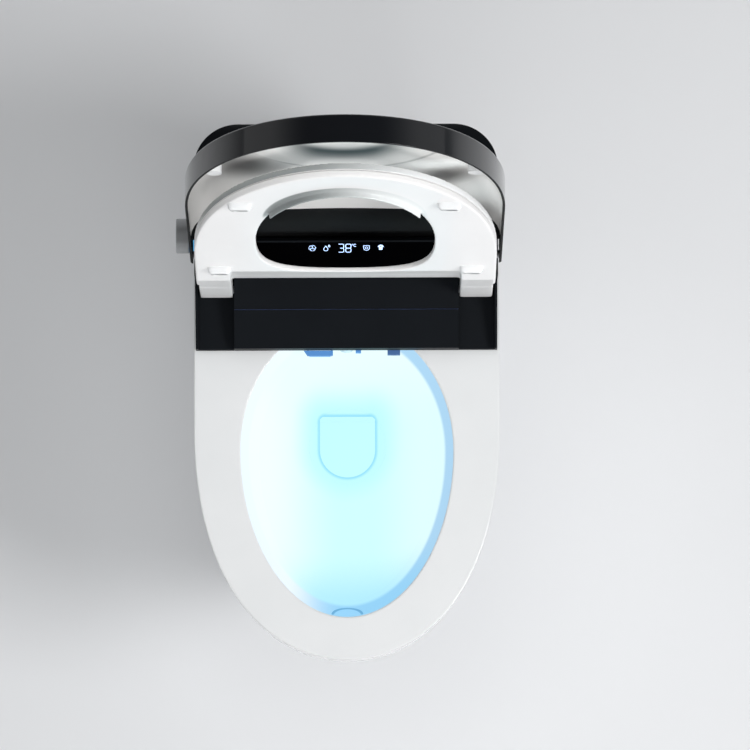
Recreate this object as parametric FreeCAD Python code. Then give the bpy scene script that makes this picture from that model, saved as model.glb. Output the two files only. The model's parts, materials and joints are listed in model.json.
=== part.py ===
import FreeCAD, Part
import math
import os
from FreeCAD import Vector

# Smart toilet in millimetres: +Z up, the front faces -Y, the wall is on +Y.
# The origin is the centre of the waste outlet on the floor.

# Driving dimensions of the china body
rim_height = 405.0
rim_half_width = 194.0
front_reach = 386.0
rear_reach = 290.0
rear_corner = 60.0
nose_length = 296.0
nose_pull = 98.0
shoulder_pull = 92.0
china_wall = 13.0
rim_slab = 14.0
rim_band = 22.0
foot_half_width = 122.0
foot_front = 272.0
foot_rear = 284.0
mid_height = 220.0
mid_half_width = 150.0
mid_front = 316.0

# Bowl, sump and trapway
bowl_centre_y = -119.0
bowl_half_width = 135.6
bowl_front = 213.0
bowl_rear = 166.0
ledge_width = 24.0
ledge_depth = 34.0
bowl_depth = 209.0
funnel_bottom = rim_height - bowl_depth
funnel_half_width = 50.0
sump_half_width = 36.0
sump_front_y = -128.0
sump_back_y = -48.0
sump_depth = 56.0
trap_bore_radius = 27.0
trap_wall = 10.0
trap_seal_rise = 40.0
trap_bend = 38.0
service_half_width = 150.0
service_front_y = 70.0
service_rear_y = 250.0
tub_depth = 105.0

# Fits
fixed_gap = 0.3
moving_gap = 1.5
running_gap = 0.05
shell_wall = 3.0

# Black washing unit
unit_front_y = 8.0
unit_half_width = 192.0
block_half_width = 142.0
block_front_rise = 25.0
block_front_height = rim_height + block_front_rise
block_ridge_y = 54.5
block_ridge_rise = 45.0
block_ridge_height = rim_height + block_ridge_rise
block_rear_y = 96.5
block_rear_rise = 60.0
block_rear_height = rim_height + block_rear_rise
ridge_groove = 1.0
panel_front_rise = 13.5
panel_front_height = rim_height + panel_front_rise
panel_slope = 0.19
cheek_rear_rise = 61.0
cheek_rear_height = rim_height + cheek_rear_rise
arm_outer = 184.5
hump_radius = 22.0
display_panel_half_width = 118.0
display_panel_thick = 2.0
hump_half_width = 186.0
barrel_length = 58.0
deck_over_axis = 18.0
deck_fall = 29.0
slot_under_axis = 29.0
chassis_thick = 5.0
tub_floor_height = rim_height - tub_depth

# Lid and seat
lid_axis_y = 119.0
lid_axis_rise = 82.0
lid_axis_z = rim_height + lid_axis_rise
deck_height = lid_axis_z + deck_over_axis
deck_rear_height = deck_height - deck_fall
slot_floor_height = lid_axis_z - slot_under_axis
lid_nose_length = 280.0
lid_nose_pull = 104.0
lid_shoulder_pull = 98.0
lid_overhang = 2.0
lid_half_width = 196.0
lid_top_offset = 27.0
lid_tip_rise = 42.0
lid_tip_height = rim_height + lid_tip_rise
lid_skirt = 34.5
lid_wall = 3.2
lid_liner_wall = 3.2
lid_dish_border = 16.0
lid_tail = 16.0
liner_tail = 138.0
liner_arch = 580.0
dent_reach = 448.0
dent_radius = 126.0
dent_depth = 2.2
lid_lean = 7.0
seat_axis_y = 81.0
seat_axis_rise = 40.0
seat_axis_z = rim_height + seat_axis_rise
seat_nose_length = 260.0
seat_nose_pull = 92.0
seat_shoulder_pull = 86.0
seat_inset = 7.0
seat_nose_gap = 15.0
seat_clearance = 9.0
seat_base_thick = 9.0
seat_cover_thick = 9.0
seat_underside = rim_height + seat_clearance
seat_split = seat_underside + seat_base_thick
seat_top_height = seat_split + seat_cover_thick
seat_rise_start_y = -110.0
seat_heel_y = 0.0
seat_heel_lift = 10.0
seat_heel_thick = 13.0
seat_heel_top = seat_top_height + seat_heel_lift
seat_heel_low = seat_heel_top - seat_heel_thick
seat_wedge_lead = 5.0
arm_rise_y = -30.0
arm_round = 10.0
seat_hole_centre_y = -160.0
seat_hole_half_width = 110.0
seat_hole_front = 162.0
seat_hole_rear = 104.0
seat_hole_fullness = 0.8
seat_hole_wall = 7.0
seat_dish_slope = 0.36
seat_lip_height = 8.0
seat_lip_wall = 3.0
seat_lip_set = 0.5
seat_lip_half_angle = 38.5
seat_lean = 12.5
hinge_pin_radius = 5.0

# Spray nozzle drive
nozzle_tilt = 30.0
nozzle_start_y = 8.0
nozzle_start_drop = 9.0
nozzle_start_z = rim_height - nozzle_start_drop
wand_radius = 8.0
wand_length = 140.0
rack_module = 1.0
pinion_teeth = 16
pinion_station = 90.0
pinion_width = 5.0
guide_start = 22.0
guide_length = 78.0
guide_half = 11.0

# Side knob
knob_y = 151.0
knob_rise = 35.0
knob_z = rim_height + knob_rise
knob_radius = 22.0
knob_depth = 17.0
knob_stem_radius = 4.0
knob_ring_depth = 2.6
knob_travel = 2.5

# Dryer, night light, flush spout
dryer_x = -34.0
dryer_duct_half = 16.0
dryer_flap_drop = 15.0
spout_x = 60.0
light_x = 15.0

far = 2 * (front_reach + rear_reach)
pieces = {}


def box(x0, x1, y0, y1, z0, z1):
    return Part.makeBox(x1 - x0, y1 - y0, z1 - z0, Vector(x0, y0, z0))


def rod(radius, start, direction, length):
    return Part.makeCylinder(radius, length, Vector(*start), Vector(*direction))


def slab(points, x0, x1):
    """Side profile in Y and Z, carried along X."""
    corners = [Vector(x0, y, z) for y, z in points]
    face = Part.Face(Part.makePolygon(corners + corners[:1]))
    return face.extrude(Vector(x1 - x0, 0, 0))


def bezier(*poles):
    curve = Part.BezierCurve()
    curve.setPoles(list(poles))
    return curve.toShape()


rim_nose = (rim_half_width, nose_length, nose_pull, shoulder_pull)
lid_nose = (lid_half_width, lid_nose_length, lid_nose_pull, lid_shoulder_pull)
seat_nose = (rim_half_width - seat_inset, seat_nose_length, seat_nose_pull, seat_shoulder_pull)


def nose_wire(z, half, front, rear, corner, nose=rim_nose):
    """Plan outline: a pointed round nose, straight sides and a rounded back."""
    full_half, length, tip_pull, side_pull = nose
    share = half / full_half
    pull = tip_pull * share
    shoulder = -front + side_pull * share
    side = -front + length * share
    bend = corner * math.sqrt(0.5)
    edges = []
    edges.append(bezier(Vector(0, -front, z), Vector(pull, -front, z), Vector(half, shoulder, z),
                        Vector(half, side, z)))
    edges.append(Part.makeLine(Vector(half, side, z), Vector(half, rear - corner, z)))
    edges.append(Part.Arc(Vector(half, rear - corner, z),
                          Vector(half - corner + bend, rear - corner + bend, z),
                          Vector(half - corner, rear, z)).toShape())
    edges.append(Part.makeLine(Vector(half - corner, rear, z), Vector(corner - half, rear, z)))
    edges.append(Part.Arc(Vector(corner - half, rear, z),
                          Vector(corner - half - bend, rear - corner + bend, z),
                          Vector(-half, rear - corner, z)).toShape())
    edges.append(Part.makeLine(Vector(-half, rear - corner, z), Vector(-half, side, z)))
    edges.append(bezier(Vector(-half, side, z), Vector(-half, shoulder, z), Vector(-pull, -front, z),
                        Vector(0, -front, z)))
    return Part.Wire(edges)


def egg_wire(z, centre, half, front, rear, rear_fullness=0.5523):
    """Oval of four quarter curves with its own front and rear reach."""
    a = half * 0.5523
    f = front * 0.5523
    b = half * rear_fullness
    r = rear * rear_fullness
    tip = Vector(0, centre - front, z)
    right = Vector(half, centre, z)
    back = Vector(0, centre + rear, z)
    left = Vector(-half, centre, z)
    return Part.Wire([
        bezier(tip, tip + Vector(a, 0, 0), right - Vector(0, f, 0), right),
        bezier(right, right + Vector(0, r, 0), back + Vector(b, 0, 0), back),
        bezier(back, back - Vector(b, 0, 0), left + Vector(0, r, 0), left),
        bezier(left, left - Vector(0, f, 0), tip - Vector(a, 0, 0), tip)])


def raised(wire, height):
    return Part.Face(wire).extrude(Vector(0, 0, height))


def joined(first, *rest):
    return first.multiFuse(list(rest)).removeSplitter()


def mirrored(shape):
    return shape.mirror(Vector(0, 0, 0), Vector(1, 0, 0))


def turned(shape, y, z, degrees):
    copy = shape.copy()
    copy.rotate(Vector(0, y, z), Vector(1, 0, 0), degrees)
    return copy


def tube_path(points, bend):
    """Straight runs joined by tangent arcs of one radius."""
    edges = []
    start = points[0]
    for before, corner, after in zip(points, points[1:], points[2:]):
        inward = (before - corner).normalize()
        onward = (after - corner).normalize()
        half_turn = (math.pi - inward.getAngle(onward)) / 2
        reach = bend * math.tan(half_turn)
        first = corner + inward * reach
        last = corner + onward * reach
        middle_way = (inward + onward).normalize()
        middle = corner + middle_way * (bend / math.cos(half_turn) - bend)
        edges.append(Part.makeLine(start, first))
        edges.append(Part.Arc(first, middle, last).toShape())
        start = last
    edges.append(Part.makeLine(start, points[-1]))
    return Part.Wire(edges)


def tube(points, bend, radius):
    path = tube_path(points, bend)
    way = (points[1] - points[0]).normalize()
    ring = Part.Wire(Part.makeCircle(radius, points[0], way))
    return path.makePipeShell([ring], True, False)


# China body
def china_shell(inset, low, high):
    """Outer form of the china, drawn in by a wall and cut between two heights."""
    stations = [
        (0.0, foot_half_width, foot_front, foot_rear),
        (mid_height / 2, foot_half_width + 4.0, foot_front + 6.0, foot_rear),
        (mid_height, mid_half_width, mid_front, foot_rear),
        (rim_height - 2 * rim_band, rim_half_width - 6.0, front_reach - 8.0, rear_reach - 1.0),
        (rim_height - rim_band, rim_half_width, front_reach, rear_reach)]
    wires = [nose_wire(z, half - inset, front - inset, rear - inset, rear_corner - inset)
             for z, half, front, rear in stations]
    body = Part.makeLoft(wires, True, False)
    band = raised(nose_wire(rim_height - rim_band, rim_half_width - inset, front_reach - inset,
                            rear_reach - inset, rear_corner - inset), rim_band)
    whole = body.fuse(band)
    wide = 2 * rim_half_width
    return whole.common(box(-wide, wide, -2 * front_reach, 2 * rear_reach, low, high))


def bowl_form(wall):
    """Bowl cavity: a sloped band, a round funnel and a D shaped sump, grown by a wall."""
    ledge_z = rim_height - ledge_depth
    top = egg_wire(rim_height, bowl_centre_y, bowl_half_width + wall, bowl_front + wall, bowl_rear + wall)
    inner_half = bowl_half_width - ledge_width
    inner_front = bowl_front - ledge_width
    inner_rear = bowl_rear - ledge_width
    low = egg_wire(ledge_z, bowl_centre_y, inner_half + wall, inner_front + wall, inner_rear + wall)
    band = Part.makeLoft([top, low], True, True)
    sump_y = (sump_front_y + sump_back_y) / 2
    drop = ledge_z - funnel_bottom
    stations = [(0.0, 0.0), (0.3, 0.13), (0.62, 0.42), (0.86, 0.78), (1.0, 1.0)]
    wires = []
    for down, draw in stations:
        wires.append(egg_wire(ledge_z - drop * down, bowl_centre_y + (sump_y - bowl_centre_y) * draw,
                              inner_half + (funnel_half_width - inner_half) * draw + wall,
                              inner_front + (funnel_half_width - inner_front) * draw + wall,
                              inner_rear + (funnel_half_width - inner_rear) * draw + wall))
    funnel = Part.makeLoft(wires, True, False)
    return band.fuse(funnel)


def sump_form(wall):
    half = sump_half_width + wall
    back = sump_back_y + wall
    front = sump_front_y - wall
    low = funnel_bottom - sump_depth - wall
    mid = front + half
    wire = Part.Wire([
        Part.makeLine(Vector(-half, back, low), Vector(-half, mid, low)),
        Part.Arc(Vector(-half, mid, low), Vector(0, front, low), Vector(half, mid, low)).toShape(),
        Part.makeLine(Vector(half, mid, low), Vector(half, back, low)),
        Part.makeLine(Vector(half, back, low), Vector(-half, back, low))])
    return raised(wire, funnel_bottom + 2.0 - low)


def trap_form(radius):
    low = funnel_bottom - sump_depth + trap_bore_radius
    rear = sump_back_y + 160.0
    weir = funnel_bottom + trap_seal_rise
    points = [Vector(0, sump_back_y - 24.0, low), Vector(0, sump_back_y + 34.0, low),
              Vector(0, sump_back_y + 84.0, weir), Vector(0, rear, weir),
              Vector(0, rear, 130.0), Vector(0, 0, 88.0), Vector(0, 0, -1.0)]
    return tube(points, trap_bend, radius)


foam_tilt = math.degrees(math.atan2(ledge_depth, ledge_width))
foam_radius = 20.0
foam_thick = 2.0
foam_lift = 8.0


def foam_disc(radius, thick):
    """Half round block in the sloped band at the front of the bowl, reaching out past the glaze."""
    disc = Part.makeCylinder(radius, thick + foam_lift, Vector(0, 0, -thick))
    half = disc.cut(box(-2 * radius, 2 * radius, -2 * radius, 0.0, -2 * thick, 2 * foam_lift))
    half.rotate(Vector(0, 0, 0), Vector(1, 0, 0), -foam_tilt)
    half.translate(Vector(0, bowl_centre_y - bowl_front + 2.0, rim_height - 4.0))
    return half


anchor_x = 165.0
anchor_y = 40.0
anchor_radius = 6.0
bolt_radius = 3.0


def ceramic_body():
    top = rim_height - rim_slab
    outer = china_shell(0.0, 0.0, rim_height)
    hollow = china_shell(china_wall, 0.0, top)
    bowl = joined(bowl_form(china_wall), sump_form(china_wall), trap_form(trap_bore_radius + trap_wall))
    body = outer.cut(hollow.cut(bowl))
    body = body.cut(bowl_form(0.0)).cut(sump_form(0.0)).cut(trap_form(trap_bore_radius))
    service = box(-service_half_width, service_half_width, service_front_y, service_rear_y,
                  top - 1.0, rim_height + 1.0)
    body = body.cut(service).cut(foam_disc(foam_radius + fixed_gap, foam_thick + fixed_gap))
    for side in (-1, 1):
        body = body.cut(rod(anchor_radius + running_gap, (side * anchor_x, anchor_y, top - 1.0), (0, 0, 1),
                            rim_slab + 2.0))
    return body


pieces["ceramic_body"] = ceramic_body()
above_rim = box(-2 * foam_radius, 2 * foam_radius, -front_reach, 0.0, rim_height - 1.0, rim_height + foam_lift)
pieces["foam_outlet_cap"] = foam_disc(foam_radius, foam_thick).cut(bowl_form(0.0)).cut(above_rim)

# Rubber collar round the foot of the waste outlet
seal_outer = trap_bore_radius + trap_wall + 9.0
seal = rod(seal_outer, (0, 0, 0), (0, 0, 1), 12.0)
pieces["outlet_seal"] = seal.cut(rod(trap_bore_radius + trap_wall + fixed_gap, (0, 0, -1), (0, 0, 1), 14.0))

# Chassis: plate on the rim with a tub for the water and air units
plate_low = rim_height + fixed_gap
plate_top = plate_low + chassis_thick
cover_low = plate_top + fixed_gap
tub_half = service_half_width - moving_gap
tub_front = service_front_y + moving_gap
tub_rear = service_rear_y - moving_gap
plate_half = unit_half_width - 7.0
plate_rear = rear_reach - 8.0
spout_y = unit_front_y + 9.0
spout_neck = 5.0


def chassis():
    plan = nose_wire(plate_low, plate_half, front_reach, plate_rear, rear_corner - 7.0)
    plate = raised(plan, chassis_thick)
    plate = plate.cut(box(-far, far, -2 * far, unit_front_y + 2.0, 0, 2 * far))
    tub = box(-tub_half, tub_half, tub_front, tub_rear, tub_floor_height, plate_top)
    room = box(-tub_half + shell_wall, tub_half - shell_wall, tub_front + shell_wall, tub_rear - shell_wall,
               tub_floor_height + shell_wall, plate_top + 1.0)
    body = joined(plate, tub).cut(room)
    wand_slot = box(-guide_half - 2.0, guide_half + 2.0, unit_front_y - 1.0, unit_front_y + 52.0,
                    plate_low - 1.0, plate_top + 1.0)
    dryer_slot = box(dryer_x - dryer_duct_half - fixed_gap, dryer_x + dryer_duct_half + fixed_gap,
                     unit_front_y - 1.0, unit_front_y + 20.0, plate_low - 1.0, plate_top + 1.0)
    body = body.cut(wand_slot).cut(dryer_slot)
    body = body.cut(rod(spout_neck + fixed_gap, (spout_x, spout_y, plate_low - 1.0), (0, 0, 1),
                        chassis_thick + 2.0))
    for side in (-1, 1):
        body = body.cut(rod(bolt_radius + fixed_gap, (side * anchor_x, anchor_y, plate_low - 1.0), (0, 0, 1),
                            chassis_thick + 2.0))
    inlet_hole = rod(inlet_radius + fixed_gap, (inlet_x, inlet_y, tub_floor_height - 1.0), (0, 0, 1), 10.0)
    body = body.cut(inlet_hole)
    for x, y in board_posts:
        body = body.fuse(rod(4.0, (x, y, tub_rear_shelf), (0, 0, 1), board_low - tub_rear_shelf))
    return body.removeSplitter()


inlet_radius = 10.48
inlet_length = 22.0
inlet_x = -76.0
inlet_y = 228.0
board_rise = 45.0
tub_rear_shelf = tub_floor_height + shell_wall
board_low = tub_rear_shelf + board_rise
board_half_x = 40.0
board_y0 = 176.0
board_y1 = 216.0
board_x = -102.0
board_posts = [(board_x + sx * (board_half_x - 6.0), y)
               for sx in (-1, 1) for y in (board_y0 + 6.0, board_y1 - 6.0)]
pieces["chassis"] = chassis()

bolt_head = 5.5
anchors = []
bolts = []
for side in (-1, 1):
    at = (side * anchor_x, anchor_y, rim_height - rim_slab)
    sleeve = rod(anchor_radius, at, (0, 0, 1), rim_slab)
    anchors.append(sleeve.cut(rod(bolt_radius + running_gap, at, (0, 0, 1), rim_slab)))
    shank = rod(bolt_radius, at, (0, 0, 1), rim_slab + fixed_gap + chassis_thick)
    head = rod(bolt_head, (side * anchor_x, anchor_y, plate_top), (0, 0, 1), 4.0)
    bolts.append(joined(shank, head))
pieces["chassis_anchors"] = Part.Compound(anchors)
pieces["chassis_bolts"] = Part.Compound(bolts)


# Centre block over the nozzle and the seat hinge
def block_shell(profile, half, open_front, open_rear):
    """Hood of a side profile, open below and where it meets its neighbours."""
    wall = shell_wall
    outer = slab(profile, -half, half)
    (y0, low), (y1, front), (y2, rear), (y3, low2) = profile
    in_front = y0 - (1.0 if open_front else -wall)
    in_rear = y2 + (1.0 if open_rear else -wall)
    slope = (rear - front) / (y2 - y1)
    inner = [(in_front, low - 1.0), (in_front, front + slope * (in_front - y1) - wall),
             (in_rear, front + slope * (in_rear - y1) - wall), (in_rear, low2 - 1.0)]
    return outer.cut(slab(inner, -half + wall, half - wall))


nozzle_profile = [(unit_front_y, cover_low), (unit_front_y, block_front_height),
                  (block_ridge_y, block_ridge_height), (block_ridge_y, cover_low)]
nozzle_cover = block_shell(nozzle_profile, block_half_width, False, True)
pieces["nozzle_cover"] = nozzle_cover

hinge_y0 = block_ridge_y + ridge_groove
hinge_profile = [(hinge_y0, cover_low), (hinge_y0, block_ridge_height), (block_rear_y, block_rear_height),
                 (block_rear_y, cover_low)]
hinge_cover = block_shell(hinge_profile, block_half_width, True, True)
pin_hole = rod(hinge_pin_radius + fixed_gap, (-300, seat_axis_y, seat_axis_z), (1, 0, 0), 600)
pieces["hinge_cover"] = hinge_cover.cut(pin_hole)

# Side panels under the seat's arms, each with an outer cheek
panel_inner = block_half_width + fixed_gap
panel_outer = unit_half_width - 1.0
panel_rear = block_rear_y
cheek_step = 10.0


def panel_top(y):
    return panel_front_height + panel_slope * (y - unit_front_y)


def side_panel():
    floor = slab([(unit_front_y, panel_top(unit_front_y) - shell_wall),
                  (unit_front_y, panel_top(unit_front_y)),
                  (panel_rear, panel_top(panel_rear)), (panel_rear, panel_top(panel_rear) - shell_wall)],
                 panel_inner, panel_outer)
    front = box(panel_inner, panel_outer, unit_front_y, unit_front_y + shell_wall, cover_low,
                panel_front_height)
    cheek = slab([(unit_front_y, cover_low), (unit_front_y, panel_front_height + cheek_step),
                  (panel_rear, cheek_rear_height), (panel_rear, cover_low)],
                 panel_outer - shell_wall, panel_outer)
    return joined(floor, front, cheek)


pieces["right_side_panel"] = side_panel()
pieces["left_side_panel"] = mirrored(side_panel())

# Display housing: a sloped face through the lid's axis, with a round back about that axis
hump_front_y = block_rear_y + ridge_groove
hump_tuck = math.radians(35.0)
hump_rear_y = lid_axis_y + hump_radius * math.cos(hump_tuck)
face_rise = math.atan2(lid_axis_z - block_rear_height, lid_axis_y - hump_front_y)
face_length = math.hypot(lid_axis_z - block_rear_height, lid_axis_y - hump_front_y) + hump_radius
barrel_start = hump_half_width - barrel_length


def hump_form(wall):
    """Side form of the housing, drawn in by a wall."""
    low = cover_low - (1.0 if wall else 0.0)
    radius = hump_radius - wall
    half = hump_half_width - wall
    front = hump_front_y - (1.0 if wall else 0.0)
    face_low = block_rear_height - (2 * wall)
    rise = face_rise - (math.asin(wall / hump_radius) if wall else 0.0)
    top = Vector(-half, lid_axis_y + radius * math.cos(rise), lid_axis_z + radius * math.sin(rise))
    end = Vector(-half, lid_axis_y + radius * math.cos(hump_tuck), lid_axis_z - radius * math.sin(hump_tuck))
    start = Vector(-half, front, low)
    knee = Vector(-half, front, face_low)
    edges = [Part.makeLine(start, knee), Part.makeLine(knee, top)]
    foot = Vector(-half, end.y, low)
    edges.append(Part.Arc(top, Vector(-half, lid_axis_y + radius, lid_axis_z), end).toShape())
    edges.append(Part.makeLine(end, foot))
    edges.append(Part.makeLine(foot, start))
    return Part.Face(Part.Wire(edges)).extrude(Vector(2 * half, 0, 0))


def hinge_barrel(side, radius):
    start = min(side * barrel_start, side * hump_half_width)
    return rod(radius, (start, lid_axis_y, lid_axis_z), (1, 0, 0), barrel_length)


barrel_radius = hump_radius - 4.0
drive_radius = barrel_radius - shell_wall


def display_plate(half, grow):
    """Glass plate let into the sloped face, flush with it."""
    plate = box(-half, half, 4.0 - grow, face_length - 3.0 + grow, -display_panel_thick - grow, grow)
    plate.rotate(Vector(0, 0, 0), Vector(1, 0, 0), math.degrees(face_rise))
    plate.translate(Vector(0, hump_front_y, block_rear_height))
    return plate


def display_housing():
    body = hump_form(0.0).cut(hump_form(shell_wall))
    for side in (-1, 1):
        body = body.fuse(hinge_barrel(side, barrel_radius))
    for side in (-1, 1):
        room = hinge_barrel(side, drive_radius + fixed_gap)
        room.translate(Vector(-side * shell_wall, 0, 0))
        body = body.cut(room)
    body = body.cut(rod(hinge_pin_radius + running_gap, (-300, lid_axis_y, lid_axis_z), (1, 0, 0), 600))
    return body.cut(display_plate(display_panel_half_width + fixed_gap, fixed_gap)).removeSplitter()


pieces["display_housing"] = display_housing()
pieces["display_panel"] = display_plate(display_panel_half_width, 0.0)
board_gap = display_panel_thick + fixed_gap
display_board = box(-60, 60, 18.0, face_length - 12.0, -board_gap - 3.0, -board_gap)
display_board.rotate(Vector(0, 0, 0), Vector(1, 0, 0), math.degrees(face_rise))
display_board.translate(Vector(0, hump_front_y, block_rear_height))
pieces["display_board"] = display_board
pieces["display_housing"] = pieces["display_housing"].cut(display_board)

# Rear cover: side arms, lid slot and rear deck
slot_radius = math.hypot(lid_top_offset, lid_tail) + 5.0


def rear_profile(wall):
    """Deck with a hollow front that follows the swing of the lid's tail."""
    low = cover_low - (1.0 if wall else 0.0)
    radius = slot_radius + wall
    front = panel_rear + ridge_groove + wall
    arm_top = slot_floor_height - wall
    foot_y = lid_axis_y + math.sqrt(radius ** 2 - (lid_axis_z - arm_top) ** 2)
    lip_z = deck_height - wall
    lip_y = lid_axis_y + math.sqrt(radius ** 2 - (lip_z - lid_axis_z) ** 2)
    back = rear_reach - 2.0 - wall
    start = Vector(0, front, low)
    points = [start, Vector(0, front, arm_top), Vector(0, foot_y, arm_top)]
    edges = [Part.makeLine(points[0], points[1]), Part.makeLine(points[1], points[2])]
    edges.append(Part.Arc(points[2], Vector(0, lid_axis_y + radius, lid_axis_z),
                          Vector(0, lip_y, lip_z)).toShape())
    crown = Vector(0, back - 34.0, deck_height - 6.0 - wall)
    shoulder = Vector(0, back, deck_rear_height - wall)
    edges.append(bezier(Vector(0, lip_y, lip_z), crown, shoulder + Vector(0, 0, 14.0), shoulder))
    edges.append(Part.makeLine(shoulder, Vector(0, back, low)))
    edges.append(Part.makeLine(Vector(0, back, low), start))
    half = unit_half_width - wall
    face = Part.Face(Part.Wire(edges))
    face.translate(Vector(-half, 0, 0))
    block = face.extrude(Vector(2 * half, 0, 0))
    plan = raised(nose_wire(low, half, front_reach, back, rear_corner - wall), 2 * deck_height)
    return block.common(plan)


def rear_cover():
    body = rear_profile(0.0).cut(rear_profile(shell_wall))
    gap = hump_half_width + fixed_gap
    body = body.cut(box(-gap, gap, 0, hump_rear_y + fixed_gap, 0, far))
    body = body.cut(rod(knob_stem_radius + 1.0, (-300, knob_y, knob_z), (1, 0, 0), 200))
    return body.cut(rod(gland_radius + fixed_gap, (gland_x, 200, gland_z), (0, 1, 0), 200))


gland_x = 112.0
gland_rise = 27.0
gland_z = rim_height + gland_rise
gland_radius = 9.0
gland_bore = 3.5
pieces["rear_cover"] = rear_cover()
gland_back = rear_reach - 2.0
gland = joined(rod(gland_radius, (gland_x, gland_back - 14.0, gland_z), (0, 1, 0), 14.0),
               rod(gland_radius + 3.0, (gland_x, gland_back - shell_wall - 3.3, gland_z), (0, 1, 0), 3.0))
pieces["power_inlet"] = gland.cut(rod(gland_bore, (gland_x, 200, gland_z), (0, 1, 0), 200))

# Lid, drawn level over its axis and then swung to its open stop
lid_tip_back = lid_axis_y + front_reach + lid_overhang
lid_tip_drop = lid_axis_z - lid_tip_height
lid_reach = math.sqrt(lid_tip_back ** 2 + lid_tip_drop ** 2 - lid_top_offset ** 2)
lid_closed_slope = math.degrees(math.atan2(lid_tip_drop, lid_tip_back)
                                + math.asin(lid_top_offset / math.hypot(lid_tip_back, lid_tip_drop)))
lid_travel = 90.0 + lid_lean + lid_closed_slope
lid_front = lid_reach - lid_axis_y
lid_rear = lid_axis_y + lid_tail
lid_top_z = lid_axis_z + lid_top_offset
lid_edge_z = lid_top_z - lid_skirt


def lid_plan(z, inset, height, tail):
    wire = nose_wire(z, lid_half_width - inset, lid_front - inset, tail, 10.0, lid_nose)
    return raised(wire, height)


def open_lid(shape):
    return turned(shape, lid_axis_y, lid_axis_z, -90.0 - lid_lean)


def lid_shell():
    outer = lid_plan(lid_edge_z, 0.0, lid_skirt, lid_rear)
    rim = [edge for edge in outer.Edges if edge.BoundBox.ZMin > lid_top_z - 0.01]
    outer = outer.makeFillet(2.4, rim)
    inner = lid_plan(lid_edge_z - 1.0, lid_wall, lid_skirt - lid_wall + 1.0, lid_rear + 40.0)
    return open_lid(outer.cut(inner))


liner_inset = lid_wall + fixed_gap
liner_top_z = lid_top_z - lid_wall - fixed_gap
liner_floor_z = liner_top_z - lid_liner_wall
liner_rear = lid_axis_y - liner_tail


def lid_liner():
    """Inner dish whose walls slope from the skirt's edge to the panel, with an arched lower edge."""
    edge = lid_edge_z + 1.0
    block = lid_plan(edge, liner_inset, liner_top_z - edge, liner_rear + 30.0)
    wide_inset = liner_inset + 1.5
    wide = nose_wire(edge - 0.5, lid_half_width - wide_inset, lid_front - wide_inset,
                     lid_rear + 60, 10.0, lid_nose)
    narrow_inset = liner_inset + lid_dish_border
    narrow = nose_wire(liner_floor_z, lid_half_width - narrow_inset, lid_front - narrow_inset,
                       lid_rear + 60, 10.0, lid_nose)
    dish = Part.makeLoft([wide, narrow], True, True)
    body = block.cut(dish)
    body = body.cut(rod(liner_arch, (0, liner_rear + liner_arch, edge - 5.0), (0, 0, 1), 100.0))
    bulge = (dent_radius ** 2 + dent_depth ** 2) / (2 * dent_depth)
    dent = Part.makeSphere(bulge, Vector(0, lid_axis_y - dent_reach, liner_floor_z + dent_depth - bulge))
    dent = dent.common(rod(dent_radius, (0, lid_axis_y - dent_reach, edge - 5.0), (0, 0, 1), 2 * lid_skirt))
    return open_lid(body.cut(dent))


lid_pad_x = 158.0
lid_pad_reach = 178.0
lid_pad_radius = 9.0
lid_pad_proud = 13.0


def lid_bumpers():
    pads = []
    for side in (-1, 1):
        y = -lid_front + lid_pad_reach
        pad = rod(lid_pad_radius, (side * lid_pad_x, y, liner_floor_z - lid_pad_proud), (0, 0, 1),
                  lid_pad_proud)
        pads.append(open_lid(pad).cut(pieces["lid_liner"]))
    return Part.Compound(pads)


def lid_pin(side):
    """Pin from the skirt into the hinge barrel."""
    inner = hump_half_width - barrel_length + shell_wall + 18.0
    outer = lid_half_width - lid_wall
    start = min(side * inner, side * outer)
    return rod(hinge_pin_radius, (start, lid_axis_y, lid_axis_z), (1, 0, 0), outer - inner)


pieces["lid_shell"] = lid_shell()
pieces["lid_liner"] = lid_liner()
pieces["lid_bumpers"] = lid_bumpers()
pieces["lid_pin_left"] = lid_pin(-1)
pieces["lid_pin_right"] = lid_pin(1)


def hinge_drive(side, axis_y, axis_z, radius, inner, outer):
    """Motor or damper round a hinge pin."""
    start = min(side * inner, side * outer)
    can = rod(radius, (start, axis_y, axis_z), (1, 0, 0), outer - inner)
    return can.cut(rod(hinge_pin_radius + running_gap, (start, axis_y, axis_z), (1, 0, 0), outer - inner))


lid_drive = (lid_axis_y, lid_axis_z, drive_radius, barrel_start + 1.0, hump_half_width - shell_wall - 1.0)
pieces["lid_motor"] = hinge_drive(-1, *lid_drive)
pieces["lid_damper"] = hinge_drive(1, *lid_drive)
seat_drive_inner = block_half_width - 70.0
seat_drive = (seat_axis_y, seat_axis_z, 10.0, seat_drive_inner, block_half_width - shell_wall - fixed_gap)
pieces["seat_motor"] = hinge_drive(-1, *seat_drive)
pieces["seat_damper"] = hinge_drive(1, *seat_drive)

# Seat, drawn closed and then swung to its open stop
seat_half = rim_half_width - seat_inset
seat_front = front_reach - seat_nose_gap
heel_gap = block_half_width + moving_gap


def open_seat(shape):
    return turned(shape, seat_axis_y, seat_axis_z, -90.0 - seat_lean)


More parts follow.
